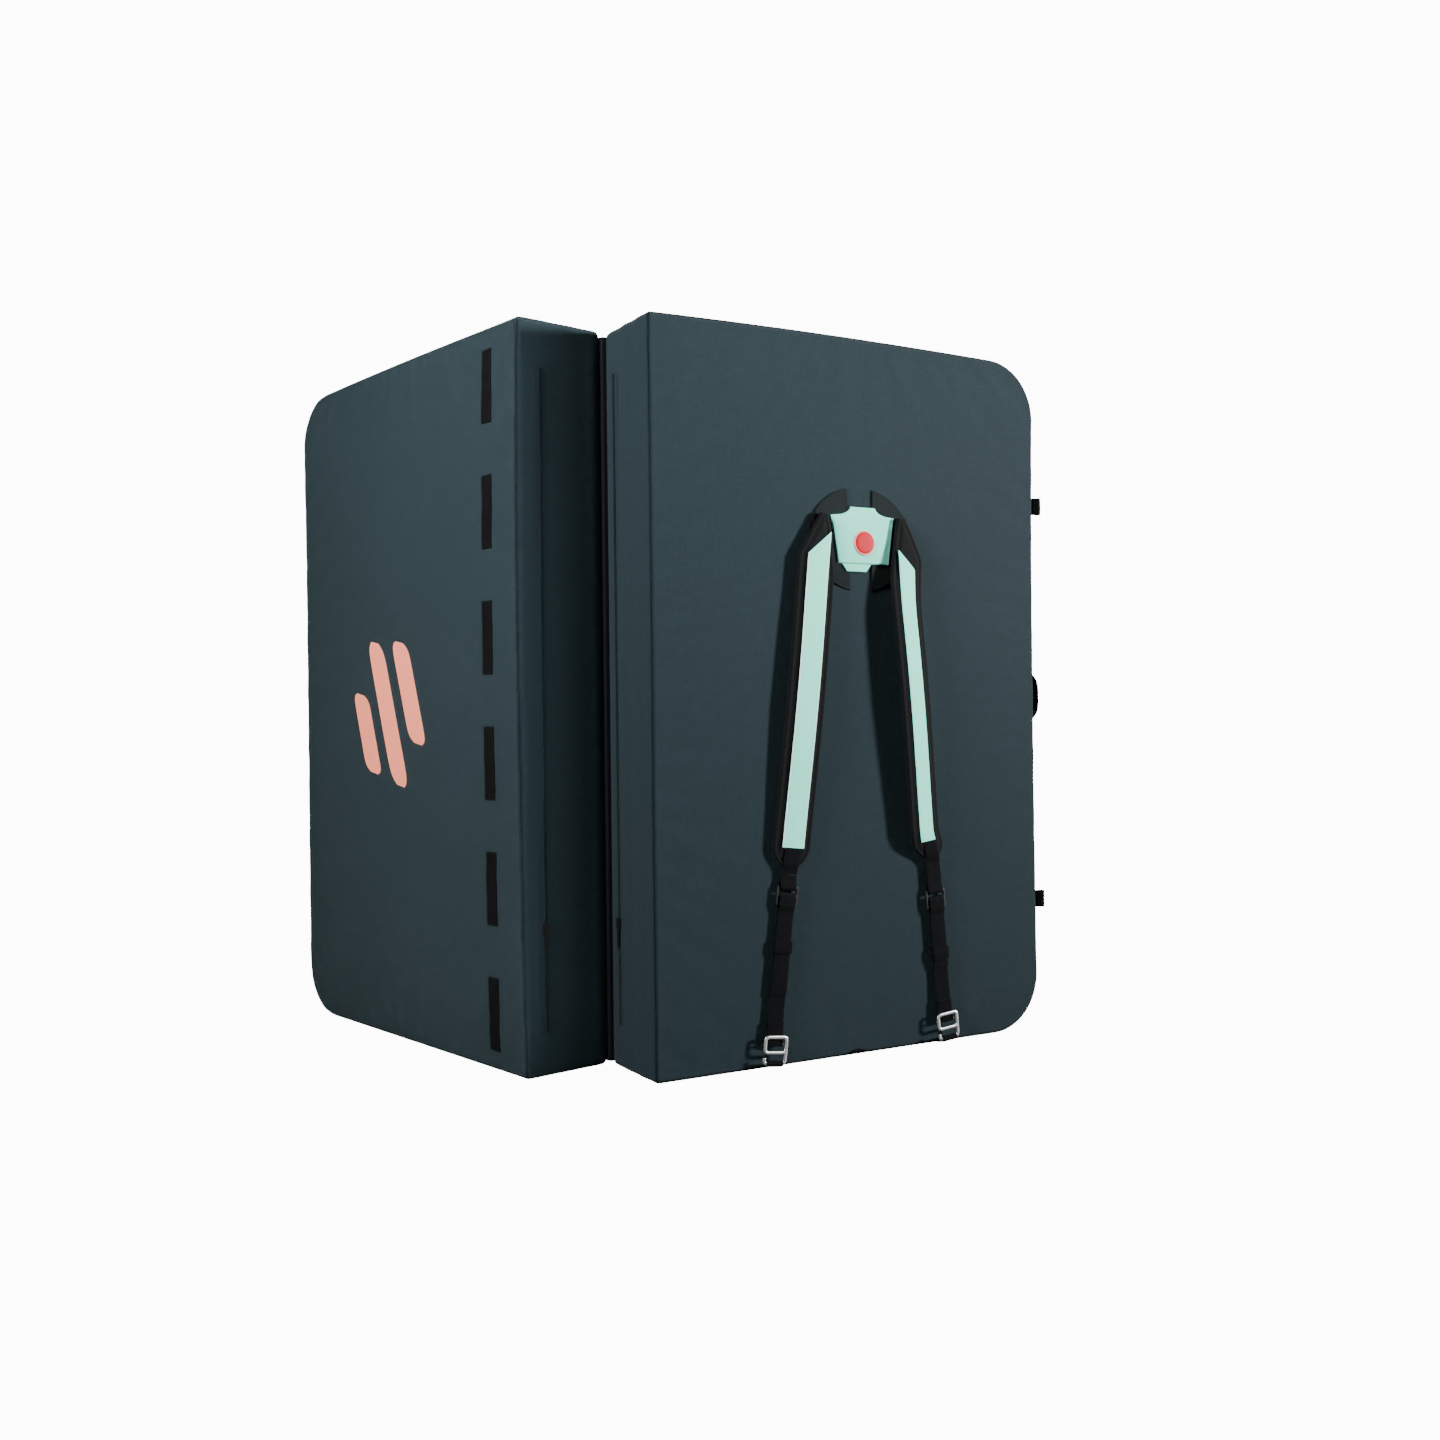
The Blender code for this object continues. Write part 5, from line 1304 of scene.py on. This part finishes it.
# %% [markdown]
# The hooks are bent and tumbled aluminium bar: a closed window above and an open mouth below,
# with a thin round bar behind the window for the webbing. Bars are swept along their middle
# lines, then fused and smoothed by a voxel remesh, which leaves the soft fillets of a casting.

# %% G-hooks
HOOK_HALF, HOOK_BAR, HOOK_THICKNESS = 0.019, 0.0050, 0.0034
HOOK_WINDOW, HOOK_MOUTH = 0.0157, 0.0095
HOOK_PLATE_Y = REAR_BAR_RADIUS + 2 * BAR_CLEARANCE + WEBBING + HOOK_THICKNESS / 2
HOOK_VOXEL, BAR_SPACING = 0.00045, 0.0008
CLOSURE_STANDOFF, CLOSURE_ROOT_DEPTH, CLOSURE_LENGTH = 0.0044, 0.030, 0.052
CLOSURE_HEIGHTS = {"lower": 0.1945, "upper": 0.787}


def rounded_corners(corners, radius, closed=False):
    """Replaces each corner of a path by points on a curve that starts and ends a radius away."""
    corners = np.asarray(corners, float)
    count = len(corners)
    points = [] if closed else [corners[0]]
    for index in range(count) if closed else range(1, count - 1):
        here = corners[index]
        back, on = (here + unit(corners[each % count] - here) * radius for each in (index - 1, index + 1))
        t = np.linspace(0, 1, 6)[:, None]
        points += list((1 - t) ** 2 * back + 2 * t * (1 - t) * here + t ** 2 * on)
    return np.array(points if closed else points + [corners[-1]])


def bar_grid(strap, corners, bend, wide, thick, beside, closed=False, power=2.5):
    """A rounded bar from corner to corner in a strap's frame, with its bends rounded off;
    beside is the direction of its thickness."""
    path, _ = even_path(rounded_corners(corners, bend, closed), BAR_SPACING, closed)
    beside = np.broadcast_to(beside, path.shape)
    cross = unit(np.cross(beside, ahead_along(path, closed)))
    over, rise = superellipse(14, 2 / power, 2 / power)
    bar = carried(path, cross, beside, over * wide / 2, rise * thick / 2)
    return in_strap(strap, bar), None, closed, True


def hook_piece(name, strap):
    """Window loop, mouth and rear bar in the strap's frame, fused into one casting."""
    side, y, rear_z = HOOK_HALF - HOOK_BAR / 2, HOOK_PLATE_Y, -strap[2]
    low, high = rear_z - (HOOK_WINDOW + HOOK_BAR) / 2, rear_z + (HOOK_WINDOW + HOOK_BAR) / 2
    foot = low - HOOK_BAR - HOOK_MOUTH
    tip = foot + HOOK_BAR / 2 + 0.55 * HOOK_MOUTH
    window = [(-side, y, low), (side, y, low), (side, y, high), (-side, y, high)]
    mouth = [(-side, y, low + HOOK_BAR), (-side, y, foot), (side, y, foot), (side, y, tip)]
    rear = [(-side, y, rear_z), (-side, 0, rear_z), (side, 0, rear_z), (side, y, rear_z)]
    rough = make_piece(name, [
        bar_grid(strap, window, HOOK_BAR, HOOK_BAR, HOOK_THICKNESS, (0.0, 1.0, 0.0), closed=True),
        bar_grid(strap, mouth, HOOK_BAR, HOOK_BAR, HOOK_THICKNESS, (0.0, 1.0, 0.0)),
        bar_grid(strap, rear, REAR_BAR_RADIUS * 1.5, *[REAR_BAR_RADIUS * 2] * 2, (0.0, 0.0, 1.0), power=2.0)])
    fuse = rough.modifiers.new("fuse", "REMESH")
    fuse.mode, fuse.voxel_size = "VOXEL", HOOK_VOXEL
    ease = rough.modifiers.new("ease", "SMOOTH")
    ease.factor, ease.iterations = 0.5, 4
    bpy.context.view_layer.update()
    cast = bpy.data.meshes.new_from_object(rough.evaluated_get(bpy.context.evaluated_depsgraph_get()))
    rough.modifiers.clear()
    rough.data = cast
    cast.shade_smooth()
    return rough


def wall_at(height):
    """Where the free wall stands at a height, between its drawn-in corners."""
    return draw_in(WIDTH, height)[0]


closures = {label: strap_frame(label + "_closure_swing", on_panel(
    -1, wall_at(height) + CLOSURE_STANDOFF, height, CLOSURE_ROOT_DEPTH + CLOSURE_LENGTH))
    for label, height in CLOSURE_HEIGHTS.items()}
for kind, frames in (("", straps), ("_closure", closures)):
    for label, strap in frames.items():
        dress(hook_piece(label + kind + "_cast_hook", strap), label + (kind or "_strap"), "hook_metal",
              satin_metal, replaces=(label + kind + "_g_hook",))

# %% [markdown]
# The strap hooks hold webbing loops sewn into the foot seam, and the closure hooks reach over to
# loops on the harness panel's free edge. A loop is webbing carried round two circles like a
# belt: a small one in the seam and a larger one where the hook goes.

# %% Sewn loops
LOOP_LEG = 0.0012
SEAM_RADIUS = 0.0009
FOOT_SEAM_ANGLE, EDGE_SEAM_ANGLE = math.radians(70), math.radians(20)
LOOP_MOUTH, LOOP_REACH, SEAM_DEPTH = 0.0082, 0.0075, 0.0024
SEAM_STAND = SEAM_RADIUS + LOOP_LEG / 2 + SEWN
LOOP_WRAP = math.hypot(HOOK_THICKNESS, HOOK_BAR) / 2 + BAR_CLEARANCE / 2 + LOOP_LEG / 2


def belt(low, low_radius, high, high_radius):
    """A closed path round two circles: an arc on each, joined by their common tangents."""
    heading = math.atan2(high[1] - low[1], high[0] - low[0])
    spread = math.acos((low_radius - high_radius) / math.dist(low, high))
    arcs = []
    for middle, radius, begin, end in ((high, high_radius, -spread, spread),
                                       (low, low_radius, spread, 2 * math.pi - spread)):
        turn = heading + np.linspace(begin, end, 14)
        arcs.append(middle + radius * together(np.cos(turn), np.sin(turn)))
    return np.vstack(arcs)


for label, sign in SIGNS.items():
    root, axes, length = straps[label]
    out, up = math.sin(FOOT_SEAM_ANGLE), math.cos(FOOT_SEAM_ANGLE)
    seam_v = RIDGE_RADIUS * (1 - up)
    seam_u = YOKE_U + sign * (STRAP_SPREAD + STRAP_SPLAYS[label] * (STRAP_ROOT_HEIGHT - seam_v))
    seam = on_panel(1, seam_u, seam_v - SEAM_STAND * up,
                    THICKNESS - RIDGE_RADIUS * (1 - out) + SEAM_STAND * out)
    bar = (HOOK_PLATE_Y, -length - HOOK_WINDOW / 2 - HOOK_BAR - HOOK_MOUTH - HOOK_BAR / 2)
    strap_webbing(label + "_foot_loop", "harness_panel", label + "_hook_loop", straps[label],
                  belt((axes @ (seam - root))[1:], SEAM_RADIUS, bar, LOOP_WRAP), LOOP_LEG, closed=True)

for label, height in CLOSURE_HEIGHTS.items():
    ridge = np.array((wall_at(height) - RIDGE_RADIUS, THICKNESS - RIDGE_RADIUS))
    heading = np.array((math.cos(EDGE_SEAM_ANGLE), math.sin(EDGE_SEAM_ANGLE)))
    seam = ridge + heading * (RIDGE_RADIUS + SEAM_STAND)
    u, d = belt(seam - heading * SEAM_DEPTH, SEAM_RADIUS, seam + heading * LOOP_REACH, LOOP_MOUTH / 2).T
    webbing(label + "_edge_loop", "harness_panel", label + "_closure_loop", on_panel(1, u, height, d),
            (0, 0, 1), spacing=0.0012, thickness=LOOP_LEG, closed=True)

# %% [markdown]
# Closure straps lie on the strip panel's free wall. Each is webbing sewn down at one end, running
# to its hook and folded back. The handles are webbing too: an arch to carry the pad by, and a
# short one that comes out of the foot seam to drag it.

# %% Closure straps and handles
CLOSURE_TACK, TACK_ROOM = 0.024, 0.0007
CARRY_LENGTH, CARRY_RISE, CARRY_FOOT, CARRY_GAP = 0.094, 0.0115, 0.014, 0.0004
HAUL_SHIFT, HAUL_HEIGHT, HAUL_INSET = 0.013, 0.0014, 0.009
HAUL_LENGTH, HAUL_HALF = 0.096, 0.006
HAUL_MIDDLE, HAUL_SPAN = -0.45, 0.36
HAUL_DROP, HAUL_OUT = 0.0068, 0.013
for label, height in CLOSURE_HEIGHTS.items():
    hook_z = -closures[label][2]
    sewn_end, settled = hook_z + FOLD_BACK, hook_z + 4 * HOOK_WRAP
    strap_webbing(label + "_closure_tape", label + "_closure", label + "_closure_webbing", closures[label], (
        [(-GAP - WEBBING / 2, 0), (-LAYER, sewn_end), (-LAYER, settled)],
        half_turn(hook_z, HOOK_WRAP, 180, 360), [(LAYER, settled), (LAYER, sewn_end)]))
    depths = CLOSURE_ROOT_DEPTH - GAP - TACK_ROOM - CLOSURE_TACK * np.linspace(1, 0, 9)
    webbing(label + "_closure_foot", "strip_panel", label + "_closure_tack",
            on_panel(-1, wall_at(height) + SEWN + WEBBING / 2, height, depths), (0, 0, 1))

offsets = np.linspace(-CARRY_LENGTH / 2, CARRY_LENGTH / 2, 61)
arch = np.clip(1 - np.abs(offsets / (CARRY_LENGTH / 2 - CARRY_FOOT)) ** 4, 0, 1)
carry_v = HEIGHT / 2 + offsets
carry_u = wall_at(carry_v) + SEWN + WEBBING / 2 + CARRY_GAP + CARRY_RISE * arch
webbing("carry_webbing", "harness_panel", "carry_handle",
        on_panel(1, carry_u, carry_v, THICKNESS - RIDGE_RADIUS - WEBBING_HALF), OUT[1])

share = np.linspace(-1, 1, 41)
bow = bell(share - HAUL_MIDDLE, HAUL_SPAN)
webbing("haul_webbing", "harness_panel", "haul_handle",
        on_panel(1, YOKE_U + HAUL_SHIFT + share * HAUL_LENGTH / 2, HAUL_HEIGHT + HAUL_DROP * bow,
                 THICKNESS - HAUL_INSET + HAUL_OUT * bow), OUT[1], half=HAUL_HALF)

# %% [markdown]
# Each spine wall opens with a long zip, so that the foam can come out. The tape is sewn flat, the
# coil is a fine spring of nylon along it, and the slider runs on the coil. A real coil has
# several hundred turns: it is one tube whose middle line is a flattened helix.

# %% Zips
ZIP_INSET = 0.060
ZIP_DEPTHS = {"harness": (1, 0.029), "strip": (-1, 0.100)}
TAPE_STAND, TAPE_HALF, TAPE_THICKNESS = -0.0007, 0.011, 0.0009
COIL_STAND, COIL_PITCH, COIL_RADIUS = -0.0019, 0.0022, 0.00042
HELIX_HEIGHT, HELIX_WIDTH = 0.00045, 0.0027
ZIP_LENGTH = HEIGHT - 2 * ZIP_INSET
for prefix, (side, depth) in ZIP_DEPTHS.items():
    heights = np.linspace(ZIP_INSET, HEIGHT - ZIP_INSET, 260)
    tape = ribbon(prefix + "_zip_cloth", on_panel(side, TAPE_STAND, heights, depth), OUT[side], TAPE_HALF,
                  TAPE_THICKNESS, spacing=0.006)
    dress(tape, prefix + "_panel", "black_webbing", zip_cloth, replaces=(prefix + "_zip_tape",))
    turns = ZIP_LENGTH / COIL_PITCH
    t = np.linspace(0, 1, int(turns * 10))
    spin = 2 * math.pi * turns * t
    path = on_panel(side, COIL_STAND - HELIX_HEIGHT * np.cos(spin), ZIP_INSET + ZIP_LENGTH * t,
                    depth + HELIX_WIDTH * np.sin(spin))
    ahead = ahead_along(path)
    beside = unit(np.cross(ahead, AXES[side][0]))
    grid = carried(path, beside, np.cross(beside, ahead), *superellipse(4, 1, 1) * COIL_RADIUS)
    dress(make_piece(prefix + "_zip_teeth", [(grid, None, False, True)], smooth_angle=None),
          prefix + "_panel", "black_plastic", zip_nylon, replaces=(prefix + "_zip_coil",))
    finish_with(frame["nodes"][prefix + "_zip_slider"], black_nylon)

# %% [markdown]
# A strip of dark cloth joins the two landing faces at the fold. It is one sheet, laid half on
# each panel.

# %% Fold strip
LEAF_REACH, LEAF_FOOT, LEAF_TOP = 0.041, 0.005, HEIGHT - 0.004
LEAF_DEPTHS = (-0.0004, -0.0015)
fold_run = np.linspace(-1, 1, 41)
heights = np.linspace(LEAF_FOOT, LEAF_TOP, 80)
front, back = (np.stack([on_panel(1 if x >= 0 else -1, abs(x) * LEAF_REACH - SPINE_SETBACK, heights, depth)
                         for x in fold_run], 1) for depth in LEAF_DEPTHS)
uv = together(fold_run * LEAF_REACH, heights[:, None])
fold_strip = make_piece("fold_strip", [(front, uv, False, False), (back[:, ::-1], uv[:, ::-1], False, False)])
finish_with(fold_strip, hinge_canvas)
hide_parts("hinge_leaf_harness", "hinge_leaf_strip")
on_panel(1, 0.003, 0.5, -0.002)
on_panel(-1, 0.003, 0.5, -0.002)
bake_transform(fold_strip)
print("fold strip", len(fold_strip.data.vertices))

# %% [markdown]
# Last, the box round every shown piece but the floor is measured, and its size is printed.

# %% Closing
low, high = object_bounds()
print("size", [round(1000 * (b - a), 1) for a, b in zip(low, high)])
